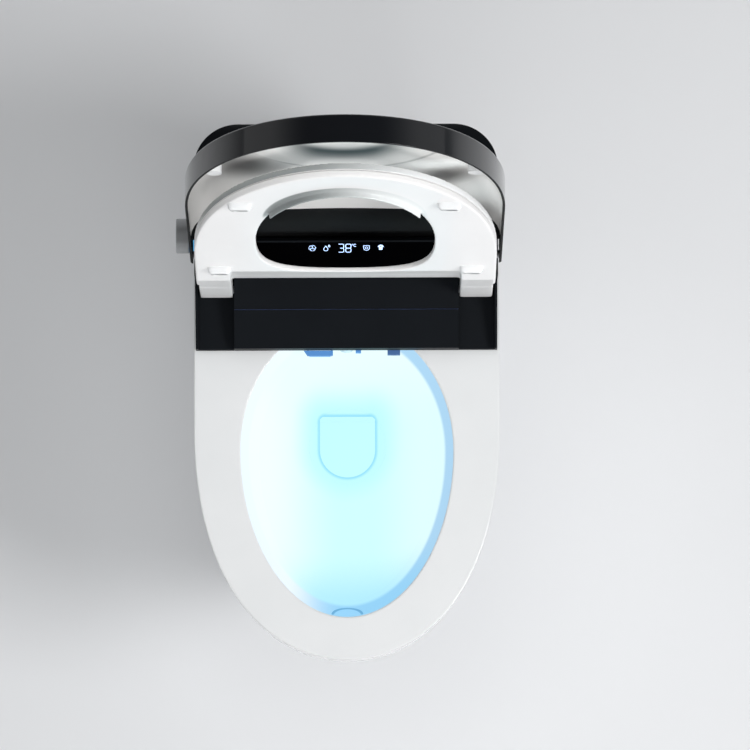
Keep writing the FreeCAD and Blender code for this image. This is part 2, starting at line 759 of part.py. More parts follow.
def seat_solid():
    """Closed seat: a flat front, a back that rises to the hinge and two arms."""
    arm_low = seat_axis_z - arm_round
    profile = [(-seat_front - 1.0, seat_underside), (-seat_front - 1.0, seat_top_height),
               (seat_rise_start_y, seat_top_height), (seat_heel_y, seat_heel_top),
               (seat_axis_y, seat_axis_z + arm_round), (seat_axis_y, arm_low), (arm_rise_y, seat_underside)]
    side = slab(profile, -seat_half - 1.0, seat_half + 1.0)
    arm_end = rod(arm_round, (-seat_half - 1.0, seat_axis_y, seat_axis_z), (1, 0, 0), 2 * seat_half + 2.0)
    plan = raised(nose_wire(0.0, seat_half, seat_front, seat_axis_y + arm_round + 8.0, 6.0, seat_nose), far)
    body = joined(side, arm_end).common(plan)
    block = box(-heel_gap, heel_gap, seat_heel_y, far, 0, far)
    wedge_y = seat_hole_centre_y + seat_hole_rear - seat_wedge_lead
    wedge = (seat_heel_low - seat_underside) / (seat_heel_y - wedge_y)
    under = slab([(wedge_y, seat_underside), (seat_heel_y + 1.0, seat_heel_low + wedge),
                  (seat_heel_y + 1.0, seat_underside - 5.0), (wedge_y, seat_underside - 5.0)],
                 -heel_gap, heel_gap)
    body = body.cut(block).cut(under)
    for side_sign in (-1, 1):
        start = min(side_sign * arm_outer, side_sign * (arm_outer + 50))
        body = body.cut(box(start, start + 50, unit_front_y - 8.0, far, 0, far))
    body = body.cut(seat_dish())
    return body.cut(rod(hinge_pin_radius + running_gap, (-300, seat_axis_y, seat_axis_z), (1, 0, 0), 600))


def hole_wire(z, grow):
    return egg_wire(z, seat_hole_centre_y, seat_hole_half_width + grow, seat_hole_front + grow,
                    seat_hole_rear + grow, seat_hole_fullness)


def seat_hole(grow, z, height):
    return raised(hole_wire(z, grow), height)


def seat_dish():
    """The seat's hole with the hollow of the top, which slopes down to it."""
    low = seat_underside + seat_hole_wall
    high = seat_heel_top + seat_hole_wall
    wires = [hole_wire(seat_underside - 1.0, 0.0), hole_wire(low, 0.0),
             hole_wire(high, (high - low) / seat_dish_slope)]
    return Part.makeLoft(wires, True, True)


def seat_lip():
    """Splash guard that stands down from the front of the seat's hole."""
    low = seat_underside - seat_lip_height
    height = seat_lip_height + 1.0
    ring = seat_hole(seat_lip_set + seat_lip_wall, low, height).cut(seat_hole(seat_lip_set, low, height))
    reach = 400.0 * math.tan(math.radians(seat_lip_half_angle))
    wedge = Part.Face(Part.makePolygon([Vector(0, seat_hole_centre_y + 20.0, low - 1),
                                        Vector(-reach, seat_hole_centre_y - 380.0, low - 1),
                                        Vector(reach, seat_hole_centre_y - 380.0, low - 1),
                                        Vector(0, seat_hole_centre_y + 20.0, low - 1)]))
    return ring.common(wedge.extrude(Vector(0, 0, 100)))


heater_inner = 18.0
heater_outer = 14.0
heater_thick = 1.2
heater_reach = 11.0
heater_corner = 12.0


def heater_ring(grow, z, thick):
    """Warming plate between the seat's two shells."""
    rear = seat_hole_centre_y + seat_hole_rear + heater_reach + grow
    outer = raised(nose_wire(z, seat_half - heater_outer + grow, seat_front - heater_outer + grow,
                             rear, heater_corner, seat_nose), thick)
    return outer.cut(seat_hole(heater_inner - grow, z - 1.0, thick + 2.0))


def seat_pieces():
    whole = seat_solid()
    upper = whole.common(box(-far, far, -far, far, seat_split + fixed_gap, far))
    upper = upper.cut(heater_ring(fixed_gap, seat_split, heater_thick + 2 * fixed_gap))
    lower = whole.common(box(-far, far, -far, far, 0, seat_split))
    lower = lower.fuse(seat_lip())
    heater = heater_ring(0.0, seat_split + fixed_gap / 2, heater_thick)
    pieces["seat_top"] = open_seat(upper)
    pieces["seat_base"] = open_seat(lower)
    pieces["seat_heater"] = open_seat(heater)


seat_pieces()
bumper_gap = 0.6
front_bumper = (127.0, -282.0)
rear_bumper = (156.5, -72.0)


def seat_bumpers():
    pads = []
    for x, y in (front_bumper, rear_bumper):
        for side in (-1, 1):
            pad = box(side * x - 15.0, side * x + 15.0, y - 7.0, y + 7.0,
                      rim_height + bumper_gap, seat_underside)
            pad = pad.makeFillet(5.0, [e for e in pad.Edges if abs(e.BoundBox.ZLength) > 1.0])
            pads.append(open_seat(pad))
    return Part.Compound(pads)


def seat_pin(side):
    inner = seat_drive_inner + 12.0
    start = min(side * inner, side * (arm_outer - 2.0))
    return rod(hinge_pin_radius, (start, seat_axis_y, seat_axis_z), (1, 0, 0), arm_outer - 2.0 - inner)


pieces["seat_bumpers"] = seat_bumpers()
pieces["seat_pin_left"] = seat_pin(-1)
pieces["seat_pin_right"] = seat_pin(1)


# Spray nozzle, drawn along +Y from its tip and then tilted
def on_nozzle(shape):
    copy = shape.copy()
    copy.rotate(Vector(0, 0, 0), Vector(1, 0, 0), nozzle_tilt)
    copy.translate(Vector(0, nozzle_start_y, nozzle_start_z))
    return copy


pinion_radius = rack_module * pinion_teeth / 2
rack_line = -wand_radius - 2.0
pinion_drop = rack_line - pinion_radius
tooth_pitch = math.pi * rack_module
tooth_half = tooth_pitch / 4 - 0.12
flank = math.tan(math.radians(20.0))
tooth_add = 0.9 * rack_module
tooth_ded = 1.2 * rack_module
tip_length = 14.0


def rack():
    """Toothed bar under the wand, in mesh with the pinion at rest."""
    root = rack_line + tooth_ded
    first = guide_start
    last = wand_length - 6.0
    points = [(first, root + 3.0), (first, root)]
    count = int((pinion_station - first) / tooth_pitch)
    station = pinion_station - tooth_pitch * (count - 0.5)
    while station + tooth_pitch / 2 < last:
        wide = tooth_half + flank * tooth_ded
        slim = tooth_half - flank * tooth_add
        points += [(station - wide, root), (station - slim, rack_line - tooth_add),
                   (station + slim, rack_line - tooth_add), (station + wide, root)]
        station += tooth_pitch
    points += [(last, root), (last, root + 3.0)]
    return slab(points, -pinion_width / 2, pinion_width / 2)


def nozzle_pinion():
    points = []
    root = pinion_radius - tooth_ded
    tip = pinion_radius + tooth_add
    for index in range(pinion_teeth):
        middle = math.pi / 2 + 2 * math.pi * index / pinion_teeth
        root_half = (tooth_half + flank * tooth_ded) / pinion_radius
        tip_half = (tooth_half - flank * tooth_add - 0.08) / tip
        for turn, radius in ((-root_half, root), (-tip_half, tip), (tip_half, tip), (root_half, root)):
            points.append((pinion_station + radius * math.cos(middle + turn),
                           pinion_drop + radius * math.sin(middle + turn)))
    gear = slab(points, -pinion_width / 2, pinion_width / 2)
    shaft = rod(2.0, (-pinion_width / 2, pinion_station, pinion_drop), (1, 0, 0), motor_start + 8.0)
    return on_nozzle(joined(gear, shaft))


motor_start = guide_half + 3.0
motor_radius = 12.0
motor_length = 26.0


def nozzle_motor():
    can = rod(motor_radius, (motor_start, pinion_station, pinion_drop), (1, 0, 0), motor_length)
    shaft_hole = rod(2.0 + running_gap, (0, pinion_station, pinion_drop), (1, 0, 0), motor_start + 8.0)
    return on_nozzle(can.cut(shaft_hole))


def nozzle_guide():
    """Square sleeve for the wand, slotted below for the rack and carried on two feet."""
    end = guide_start + guide_length
    sleeve = box(-guide_half, guide_half, guide_start, end, -guide_half, guide_half)
    sleeve = sleeve.cut(rod(wand_radius + fixed_gap, (0, 0, 0), (0, 1, 0), 300))
    sleeve = sleeve.cut(box(-pinion_width / 2 - 1.5, pinion_width / 2 + 1.5, 0, 300, -30, 0))
    bracket = box(guide_half - 4.0, motor_start, pinion_station - motor_radius, pinion_station + motor_radius,
                  pinion_drop + 5.0, -guide_half + 2.0)
    body = on_nozzle(joined(sleeve, bracket))
    foot_y = tub_front - 7.0
    for side in (-1, 1):
        start = min(side * (guide_half - 4.0), side * guide_half)
        foot = box(start, start + 4.0, foot_y - 8.0, foot_y + 6.0, plate_top, nozzle_start_z + 30.0)
        body = body.fuse(foot.cut(on_nozzle(rod(wand_radius + fixed_gap, (0, 0, 0), (0, 1, 0), 300))))
    return body.removeSplitter()


def nozzle_wand():
    wand = rod(wand_radius, (0, tip_length, 0), (0, 1, 0), wand_length - tip_length)
    return on_nozzle(joined(wand, rack()))


def nozzle_tip():
    tip = rod(wand_radius, (0, 2.0, 0), (0, 1, 0), tip_length - 2.0)
    for step in (5.0, 8.0, 11.0):
        tip = tip.cut(rod(0.8, (0, step, 0), (0, 0, 1), 20))
    return on_nozzle(tip)


pieces["nozzle_wand"] = nozzle_wand()
pieces["nozzle_tip"] = nozzle_tip()
pieces["nozzle_guide"] = nozzle_guide()
pieces["nozzle_pinion"] = nozzle_pinion()
pieces["nozzle_motor"] = nozzle_motor()

# Side knob with its light ring, on the left arm of the rear cover
side_x = -unit_half_width
ring_face = side_x - fixed_gap - knob_ring_depth
ring = rod(knob_radius + 1.0, (ring_face, knob_y, knob_z), (1, 0, 0), knob_ring_depth)
pieces["knob_ring"] = ring.cut(rod(knob_stem_radius + 1.0, (-300, knob_y, knob_z), (1, 0, 0), 200))
knob_face = ring_face - knob_travel - 1.0
grip = rod(knob_radius, (knob_face - knob_depth, knob_y, knob_z), (1, 0, 0), knob_depth)
grip = grip.makeFillet(1.6, [e for e in grip.Edges if e.BoundBox.XLength < 0.01])
pieces["knob"] = grip.cut(rod(knob_stem_radius + running_gap, (knob_face - 12.0, knob_y, knob_z),
                              (1, 0, 0), 30.0))
stem_start = knob_face - 11.5
encoder_depth = 14.0
encoder_x = side_x + shell_wall + fixed_gap
pieces["knob_stem"] = rod(knob_stem_radius, (stem_start, knob_y, knob_z), (1, 0, 0),
                          encoder_x + 9.0 - stem_start)
encoder_half = 10.0
encoder = box(encoder_x, encoder_x + encoder_depth, knob_y - encoder_half, knob_y + encoder_half,
              knob_z - encoder_half, knob_z + encoder_half)
pieces["knob_encoder"] = encoder.cut(rod(knob_stem_radius + running_gap, (encoder_x, knob_y, knob_z),
                                         (1, 0, 0), 9.0 + knob_travel + 0.5))

# Warm air dryer: scroll and fan in the tub, duct to the front, flap at its mouth
scroll_x = dryer_x
scroll_y = 132.0
scroll_radius = 32.0
scroll_low = tub_rear_shelf
scroll_high = scroll_low + 42.0
duct_wall = 2.0
duct_top = plate_top + 17.0


def dryer_scroll():
    can = rod(scroll_radius, (scroll_x, scroll_y, scroll_low), (0, 0, 1), scroll_high - scroll_low)
    room = rod(scroll_radius - duct_wall, (scroll_x, scroll_y, scroll_low + duct_wall), (0, 0, 1),
               scroll_high - scroll_low - 2 * duct_wall)
    half = dryer_duct_half
    way_out = box(scroll_x - half + duct_wall, scroll_x + half - duct_wall, scroll_y - 26.0 + duct_wall,
                  scroll_y - 4.0 - duct_wall, scroll_high - 10.0, scroll_high + 1.0)
    return can.cut(room).cut(way_out)


mouth_y = unit_front_y + 3.5
mouth_depth = 11.0
mouth_drop = 12.0


def duct_runs(wall):
    half = dryer_duct_half - wall
    x0, x1 = dryer_x - half, dryer_x + half
    end = 1.0 if wall else 0.0
    riser = box(x0, x1, scroll_y - 26.0 + wall, scroll_y - 4.0 - wall, scroll_high - end, duct_top - wall)
    level = box(x0, x1, mouth_y + wall, scroll_y - 4.0 - wall, plate_top + wall, duct_top - wall)
    mouth = box(x0, x1, mouth_y + wall, mouth_y + mouth_depth - wall,
                plate_low - mouth_drop - end, duct_top - wall)
    return joined(riser, level, mouth)


flap_y = unit_front_y - 4.0
flap_axis_z = plate_low - 3.0


def dryer_duct():
    body = duct_runs(0.0).cut(duct_runs(duct_wall))
    ears = []
    for side in (-1, 1):
        x = dryer_x + side * (dryer_duct_half - 1.0)
        ears.append(box(x - 1.0, x + 1.0, flap_y - 2.5, mouth_y + 0.5, flap_axis_z - 2.5, flap_axis_z + 2.5))
    body = joined(body, *ears)
    return body.cut(rod(1.0 + running_gap, (dryer_x - 30.0, flap_y, flap_axis_z), (1, 0, 0), 60.0))


def dryer_flap():
    half = dryer_duct_half - 2.3
    leaf = box(dryer_x - half, dryer_x + half, flap_y - 1.0, flap_y + 1.0,
               flap_axis_z - dryer_flap_drop, flap_axis_z)
    pin = rod(1.0, (dryer_x - half - 2.2, flap_y, flap_axis_z), (1, 0, 0), 2 * half + 4.4)
    return joined(leaf, pin)


pieces["dryer_scroll"] = dryer_scroll()
pieces["dryer_duct"] = dryer_duct()
pieces["dryer_flap"] = dryer_flap()


def fan_wheel(x, y, low, radius, height, shaft_low, shaft_high, blades):
    """Drum of straight blades on a disc and a shaft."""
    disc = rod(radius, (x, y, low), (0, 0, 1), 2.0)
    hub = rod(5.0, (x, y, low), (0, 0, 1), height)
    shaft = rod(2.0, (x, y, shaft_low), (0, 0, 1), shaft_high - shaft_low)
    vanes = []
    for index in range(blades):
        vane = box(x + radius - 8.0, x + radius, y - 0.6, y + 0.6, low, low + height)
        vane.rotate(Vector(x, y, 0), Vector(0, 0, 1), 360.0 * index / blades)
        vanes.append(vane)
    return joined(disc, hub, shaft, *vanes)


fan_gap = 3.0
motor_height = 14.0
motor_can = 13.0
motor_top = scroll_low + duct_wall + motor_height
dryer_motor = rod(motor_can, (scroll_x, scroll_y, scroll_low + duct_wall), (0, 0, 1), motor_height)
motor_hole = rod(2.0 + running_gap, (scroll_x, scroll_y, motor_top - 8.0), (0, 0, 1), 20)
pieces["dryer_motor"] = dryer_motor.cut(motor_hole)
pieces["dryer_impeller"] = fan_wheel(scroll_x, scroll_y, motor_top + 1.0, scroll_radius - duct_wall - fan_gap,
                                     18.0, motor_top - 7.5, motor_top + 2.0, 16)

# Deodorizer: case with a fan and a carbon block
deo_x = -30.0
deo_y = 212.0
deo_half = 30.0
deo_height = 34.0
deo_low = tub_rear_shelf
deo_case = box(deo_x - deo_half, deo_x + deo_half, deo_y - deo_half, deo_y + deo_half,
               deo_low, deo_low + deo_height)
deo_room = rod(deo_half - 3.0, (deo_x, deo_y, deo_low + 3.0), (0, 0, 1), deo_height)
deo_post = rod(6.0, (deo_x, deo_y, deo_low + 2.0), (0, 0, 1), 8.0)
deo_case = joined(deo_case.cut(deo_room), deo_post)
deo_hole = rod(2.0 + running_gap, (deo_x, deo_y, deo_low + 3.0), (0, 0, 1), 20.0)
pieces["deodorizer_case"] = deo_case.cut(deo_hole)
pieces["deodorizer_fan"] = fan_wheel(deo_x, deo_y, deo_low + 11.0, deo_half - 6.0, 14.0, deo_low + 3.5,
                                     deo_low + 12.0, 12)
filter_low = deo_low + deo_height
carbon = box(deo_x - deo_half, deo_x + deo_half, deo_y - deo_half, deo_y + deo_half,
             filter_low, filter_low + 14.0)
for row in range(4):
    for column in range(4):
        corner = (deo_x - 21.0 + 14.0 * row, deo_y - 21.0 + 14.0 * column, filter_low - 1.0)
        carbon = carbon.cut(rod(4.0, corner, (0, 0, 1), 16.0))
pieces["deodorizer_filter"] = carbon

# Water path: inlet, valve, heater and hose to the nozzle
valve_low = tub_rear_shelf
inlet = joined(rod(inlet_radius, (inlet_x, inlet_y, tub_floor_height - inlet_length), (0, 0, 1),
                   inlet_length + shell_wall),
               rod(inlet_radius + 4.0, (inlet_x, inlet_y, tub_floor_height - 4.3), (0, 0, 1), 4.0))
pieces["water_inlet"] = inlet.cut(rod(6.5, (inlet_x, inlet_y, 0), (0, 0, 1), far))
valve = joined(box(inlet_x - 14.0, inlet_x + 14.0, inlet_y - 14.0, inlet_y + 14.0,
                   valve_low, valve_low + 22.0),
               rod(11.0, (inlet_x, inlet_y, valve_low + 22.0), (0, 0, 1), 26.0))
pieces["inlet_valve"] = valve
heater_x0 = -tub_half + shell_wall + fixed_gap
heater_x1 = dryer_x - scroll_radius - fixed_gap
heater_y0 = tub_front + shell_wall + fixed_gap
heater_y1 = board_y0 - 6.0
heater_top = tub_rear_shelf + 56.0
water_heater = box(heater_x0, heater_x1, heater_y0, heater_y1, tub_rear_shelf, heater_top)
upright = [edge for edge in water_heater.Edges if edge.BoundBox.ZLength > 20.0]
pieces["water_heater"] = water_heater.makeFillet(6.0, upright)
hose_radius = 4.0
hose_bore = 2.6
hose_start_x = -80.0
hose_y = 100.0
hose_z = plate_top + 23.0
valve_x0 = -guide_half - 13.0
hose_points = [Vector(hose_start_x, hose_y, heater_top), Vector(hose_start_x, hose_y, hose_z),
               Vector(valve_x0, hose_y, hose_z)]


def water_hose():
    outer = tube(hose_points, 8.0, hose_radius)
    return outer.cut(tube(hose_points, 8.0, hose_bore))


valve_box = box(valve_x0, -guide_half - fixed_gap, hose_y - 16.0, hose_y + 6.0, hose_z - 5.0, hose_z + 12.0)
pieces["water_hose"] = water_hose()
pieces["nozzle_valve"] = valve_box

# Flush pump and its hose to the spout at the back of the bowl
pump_x = 96.0
pump_y = 190.0
pump_radius = 40.0
pump_high = tub_rear_shelf + 58.0
stub_high = pump_high + 8.0
pump = joined(rod(pump_radius, (pump_x, pump_y, tub_rear_shelf), (0, 0, 1), 26.0),
              rod(pump_radius - 8.0, (pump_x, pump_y, tub_rear_shelf + 26.0), (0, 0, 1),
                  pump_high - tub_rear_shelf - 26.0),
              box(spout_x - 12.0, spout_x + 12.0, 112.0, pump_y, tub_rear_shelf, tub_rear_shelf + 26.0),
              rod(8.0, (spout_x, 124.0, tub_rear_shelf + 26.0), (0, 0, 1), stub_high - tub_rear_shelf - 26.0))
pieces["flush_pump"] = pump
spout_level = plate_top + 9.0
flush_hose_radius = 7.5
flush_hose_bore = 5.7
flush_points = [Vector(spout_x, spout_y + 14.0, spout_level), Vector(spout_x, 124.0, spout_level),
                Vector(spout_x, 124.0, stub_high)]
flush_way = tube(flush_points, 16.0, flush_hose_bore)
pieces["flush_hose"] = tube(flush_points, 16.0, flush_hose_radius).cut(flush_way)


def flush_spout():
    head = box(spout_x - 8.0, spout_x + 8.0, spout_y - 14.0, spout_y - 1.0,
               plate_low - 8.3, plate_low - fixed_gap)
    neck = rod(spout_neck, (spout_x, spout_y, plate_low - 6.0), (0, 0, 1),
               spout_level + spout_neck - plate_low + 6.0)
    barb = rod(spout_neck, (spout_x, spout_y, spout_level), (0, 1, 0), 24.0)
    body = joined(head, neck, barb)
    body = body.cut(rod(3.6, (spout_x, spout_y, plate_low - 4.5), (0, 0, 1), spout_level - plate_low + 4.5))
    body = body.cut(rod(3.6, (spout_x, spout_y, spout_level), (0, 1, 0), 30.0))
    jet = box(spout_x - 3.5, spout_x + 3.5, spout_y - 16.0, spout_y, plate_low - 5.5, plate_low - 2.5)
    return body.cut(jet)


pieces["flush_spout"] = flush_spout()
pieces["night_light_lens"] = box(light_x - 3.4, light_x + 3.4, unit_front_y - 3.0, unit_front_y + 2.0,
                                 plate_low - 3.0, plate_top)

# Electronics
pcb = box(board_x - board_half_x, board_x + board_half_x, board_y0, board_y1, board_low, board_low + 1.6)
chips = []
for index in range(4):
    x = board_x - 30.0 + 19.0 * index
    chips.append(box(x, x + 11.0, board_y0 + 8.0, board_y0 + 20.0, board_low + 1.6, board_low + 4.0))
for index in range(3):
    chips.append(rod(4.0, (board_x - 24.0 + 22.0 * index, board_y1 - 9.0, board_low + 1.6), (0, 0, 1), 11.0))
pieces["control_board"] = joined(pcb, *chips)
supply_x0 = -42.0
supply_y = plate_rear - 22.0
supply = box(supply_x0, supply_x0 + 128.0, supply_y, supply_y + 18.0, plate_top, plate_top + 34.0)
for index in range(9):
    x = supply_x0 + 8.0 + 13.0 * index
    supply = supply.cut(box(x, x + 5.0, supply_y + 2.0, supply_y + 16.0, plate_top + 32.0, plate_top + 40.0))
pieces["power_supply"] = supply


# Screws that hold the covers down to the chassis
def cover_screws():
    screws = []
    for side in (-1, 1):
        for y in (unit_front_y + 22.0, panel_rear - 8.0):
            x = side * (panel_inner + 12.0)
            top = panel_top(y) - shell_wall - 1.0
            shank = rod(2.0, (x, y, plate_top), (0, 0, 1), top - plate_top)
            head = rod(3.6, (x, y, top - 2.2), (0, 0, 1), 2.2)
            screws.append(joined(shank, head))
    return Part.Compound(screws)


pieces["cover_screws"] = cover_screws()

os.makedirs("parts", exist_ok=True)
for name, shape in pieces.items():
    shape.exportStep("parts/" + name + ".step")
    print(name, len(shape.Solids), shape.isValid(), round(shape.Volume / 1000.0, 1), "cm3", shape.BoundBox)
print("lid travel", round(lid_travel, 3), "closed slope", round(lid_closed_slope, 3))
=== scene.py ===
import json
import math
import bmesh
import bpy
import numpy as np
from mathutils import Matrix, Vector


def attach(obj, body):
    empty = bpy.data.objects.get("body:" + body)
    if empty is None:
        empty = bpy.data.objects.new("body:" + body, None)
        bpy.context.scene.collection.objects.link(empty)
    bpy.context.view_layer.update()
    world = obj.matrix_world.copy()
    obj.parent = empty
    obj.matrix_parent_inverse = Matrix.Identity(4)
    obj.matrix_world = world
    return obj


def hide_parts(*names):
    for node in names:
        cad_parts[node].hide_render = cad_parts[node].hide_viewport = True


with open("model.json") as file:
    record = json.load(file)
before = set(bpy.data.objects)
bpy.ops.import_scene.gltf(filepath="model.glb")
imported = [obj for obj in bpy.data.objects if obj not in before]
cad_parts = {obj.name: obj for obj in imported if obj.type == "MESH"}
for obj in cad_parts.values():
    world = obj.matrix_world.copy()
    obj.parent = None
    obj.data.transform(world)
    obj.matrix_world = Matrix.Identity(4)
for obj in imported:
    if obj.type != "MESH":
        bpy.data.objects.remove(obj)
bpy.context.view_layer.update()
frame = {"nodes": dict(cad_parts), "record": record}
nodes = frame["nodes"]
scene = bpy.context.scene
scene.view_settings.view_transform = "Standard"
print("stage: frame loaded,", len(nodes), "nodes")


def srgb(red, green, blue):
    # a screen colour, 0 to 255, as the linear values that a shader takes
    channels = np.array([red, green, blue]) / 255.0
    linear = np.where(channels <= 0.04045, channels / 12.92, ((channels + 0.055) / 1.055) ** 2.4)
    return (*[float(v) for v in linear], 1.0)


def standAt(thing, settings):
    # puts a camera or lamp at one point, turned towards another
    thing.location = settings["at"]
    way = Vector(settings["aim"]) - Vector(settings["at"])
    thing.rotation_euler = way.to_track_quat("-Z", "Y").to_euler()
    scene.collection.objects.link(thing)


# Camera of the photograph: high above the front of the bowl
camera = dict(at=(0.032, -1.136, 8.327), aim=(0.036, -0.0229, 0.405), lens=302.35, sensor=36.0, clip=60.0)


def addCamera(settings):
    data = bpy.data.cameras.new("camera")
    data.lens, data.sensor_width, data.clip_end = settings["lens"], settings["sensor"], settings["clip"]
    eye = bpy.data.objects.new("camera", data)
    standAt(eye, settings)
    scene.camera = eye


addCamera(camera)
print("stage: camera set")


# Small helpers for node trees
def addNode(tree, kind, inputs=None, **properties):
    node = tree.nodes.new(kind)
    for key, value in properties.items():
        setattr(node, key, value)
    for key, value in (inputs or {}).items():
        node.inputs[key].default_value = value
    return node


def feed(tree, socket, value):
    # a link if the value comes from another node, or else a plain number or colour
    if hasattr(value, "is_output"):
        tree.links.new(value, socket)
    else:
        socket.default_value = value


def addMath(tree, operation, first, second=0.0):
    node = addNode(tree, "ShaderNodeMath", operation=operation)
    feed(tree, node.inputs[0], first)
    feed(tree, node.inputs[1], second)
    return node.outputs[0]


def product(tree, first, second):
    return addMath(tree, "MULTIPLY", first, second)


def flipped(tree, value):
    return addMath(tree, "SUBTRACT", 1.0, value)


def lengthOf(tree, first, second):
    # square root of the sum of both squares
    return addMath(tree, "SQRT", addMath(tree, "ADD", product(tree, first, first), product(tree, second, second)))


def softStep(tree, value, span):
    # 0 at the first value of the span and 1 at its second, eased between them
    node = addNode(tree, "ShaderNodeMapRange", {"From Min": span[0], "From Max": span[1]},
                   interpolation_type="SMOOTHSTEP")
    tree.links.new(value, node.inputs["Value"])
    return node.outputs[0]


def mixColour(tree, amount, first, second):
    node = addNode(tree, "ShaderNodeMix", data_type="RGBA")
    for slot, value in ((0, amount), (6, first), (7, second)):
        feed(tree, node.inputs[slot], value)
    return node.outputs[2]


def partsOf(tree, vector):
    # the X, Y and Z of a vector
    node = addNode(tree, "ShaderNodeSeparateXYZ")
    tree.links.new(vector, node.inputs[0])
    return node.outputs


def newGroup(name, inputs, outputs):
    tree = bpy.data.node_groups.new(name, "ShaderNodeTree")
    for label, value in inputs:
        socket = tree.interface.new_socket(label, in_out="INPUT", socket_type="NodeSocketFloat")
        socket.default_value = value
    for label, kind in outputs:
        tree.interface.new_socket(label, in_out="OUTPUT", socket_type=kind)
    return tree, addNode(tree, "NodeGroupOutput")


# Shared node groups
surface = dict(edgeSamples=6, grainDetail=3.0, cloudDetail=4.0, bumpDistance=0.0002)


def surfaceGroup(settings):
    # rounded edges, a fine grain in the normal and a slow cloudy tone
    inputs = [("Radius", 0.001), ("Grain", 900.0), ("Depth", 0.1), ("Cloud", 14.0)]
    tree, sink = newGroup("surfaceDetail", inputs, [("Normal", "NodeSocketVector"), ("Tone", "NodeSocketFloat")])
    source = addNode(tree, "NodeGroupInput")
    coords = addNode(tree, "ShaderNodeTexCoord")
    edge = addNode(tree, "ShaderNodeBevel", samples=settings["edgeSamples"])
    grain = addNode(tree, "ShaderNodeTexNoise", {"Detail": settings["grainDetail"]})
    cloud = addNode(tree, "ShaderNodeTexNoise", {"Detail": settings["cloudDetail"]})
    bump = addNode(tree, "ShaderNodeBump", {"Distance": settings["bumpDistance"]})
    link = tree.links.new
    link(source.outputs["Radius"], edge.inputs["Radius"])
    link(coords.outputs["Object"], grain.inputs["Vector"])
    link(source.outputs["Grain"], grain.inputs["Scale"])
    link(coords.outputs["Object"], cloud.inputs["Vector"])
    link(source.outputs["Cloud"], cloud.inputs["Scale"])
    link(source.outputs["Depth"], bump.inputs["Strength"])
    link(grain.outputs["Fac"], bump.inputs["Height"])
    link(edge.outputs["Normal"], bump.inputs["Normal"])
    link(bump.outputs["Normal"], sink.inputs["Normal"])
    link(cloud.outputs["Fac"], sink.inputs["Tone"])
    return tree


bowl = dict(centre=-0.119, half=0.1356, front=0.213, rear=0.166, edge=(0.992, 1.004), top=(0.4035, 0.4051),
            foot=(0.12, 0.13), upward=(0.0, 0.08), sumpHalf=0.036, sumpFront=-0.128, sumpBack=-0.048,
            sumpCorner=0.008, sumpNear=(0.034, 0.024))


def placeGroup(settings):
    # where a point lies in the bowl: a mask on what faces up inside the egg shaped plan and below the rim, the place
    # across and along it, the height, and the distance to the D shaped outline of the sump
    labels = ("Inside", "Across", "Along", "Height", "Sump")
    tree, sink = newGroup("bowlPlace", [], [(label, "NodeSocketFloat") for label in labels])
    coords = addNode(tree, "ShaderNodeTexCoord")
    spotX, spotY, spotZ = partsOf(tree, coords.outputs["Object"])
    across = addMath(tree, "DIVIDE", spotX, settings["half"])
    offset = addMath(tree, "SUBTRACT", spotY, settings["centre"])
    behind = addMath(tree, "DIVIDE", addMath(tree, "MAXIMUM", offset), settings["rear"])
    ahead = addMath(tree, "DIVIDE", addMath(tree, "MINIMUM", offset), settings["front"])
    along = addMath(tree, "ADD", behind, ahead)
    plan = flipped(tree, softStep(tree, lengthOf(tree, across, along), settings["edge"]))
    below = flipped(tree, softStep(tree, spotZ, settings["top"]))
    # the D is a half round nose carried straight back, with rounded corners at its end
    half, corner = settings["sumpHalf"], settings["sumpCorner"]
    nose = addMath(tree, "MINIMUM", addMath(tree, "SUBTRACT", spotY, settings["sumpFront"] + half))
    side = addMath(tree, "SUBTRACT", lengthOf(tree, spotX, nose), half - corner)
    back = addMath(tree, "SUBTRACT", spotY, settings["sumpBack"] - corner)
    within = addMath(tree, "MINIMUM", addMath(tree, "MAXIMUM", side, back))
    side, back = [addMath(tree, "MAXIMUM", value) for value in (side, back)]
    sump = addMath(tree, "SUBTRACT", addMath(tree, "ADD", within, lengthOf(tree, side, back)), corner)
    facing = partsOf(tree, coords.outputs["Normal"])
    shown = addMath(tree, "MAXIMUM", softStep(tree, facing["Z"], settings["upward"]),
                    softStep(tree, sump, settings["sumpNear"]))
    shown = product(tree, shown, softStep(tree, spotZ, settings["foot"]))
    inside = product(tree, product(tree, plan, below), shown)
    for label, value in zip(labels, (inside, across, along, spotZ, sump)):
        tree.links.new(value, sink.inputs[label])
    return tree


def levelGroup(name, settings):
    # the place and the facing of a point once its body is turned back to level about its hinge
    tree, sink = newGroup(name, [], [(label, "NodeSocketVector") for label in ("Place", "Facing")])
    coords = addNode(tree, "ShaderNodeTexCoord")
    hinge = (0.0, settings["axisY"], settings["axisZ"])
    for given, label, centre in (("Object", "Place", hinge), ("Normal", "Facing", (0.0, 0.0, 0.0))):
        turn = addNode(tree, "ShaderNodeVectorRotate", rotation_type="X_AXIS")
        turn.inputs["Center"].default_value = centre
        turn.inputs["Angle"].default_value = math.radians(-settings["open"])
        tree.links.new(coords.outputs[given], turn.inputs["Vector"])
        tree.links.new(turn.outputs["Vector"], sink.inputs[label])
    return tree


lidHinge = dict(axisY=0.119, axisZ=0.487, open=-97.0)
seatHinge = dict(axisY=0.081, axisZ=0.445, open=-102.5)
surfaceDetail = surfaceGroup(surface)
bowlPlace = placeGroup(bowl)
lidLevel = levelGroup("lidLevel", lidHinge)
seatLevel = levelGroup("seatLevel", seatHinge)


# Materials, one per finish of the record
plainFinish = dict(edge=0.0012, grain=900.0, depth=0.05, cloud=14.0, metal=0.0, coat=0.0, coatRough=0.05, specular=0.5)


def newMaterial(name):
    material = bpy.data.materials.new(name)
    material.use_nodes = True
    return material


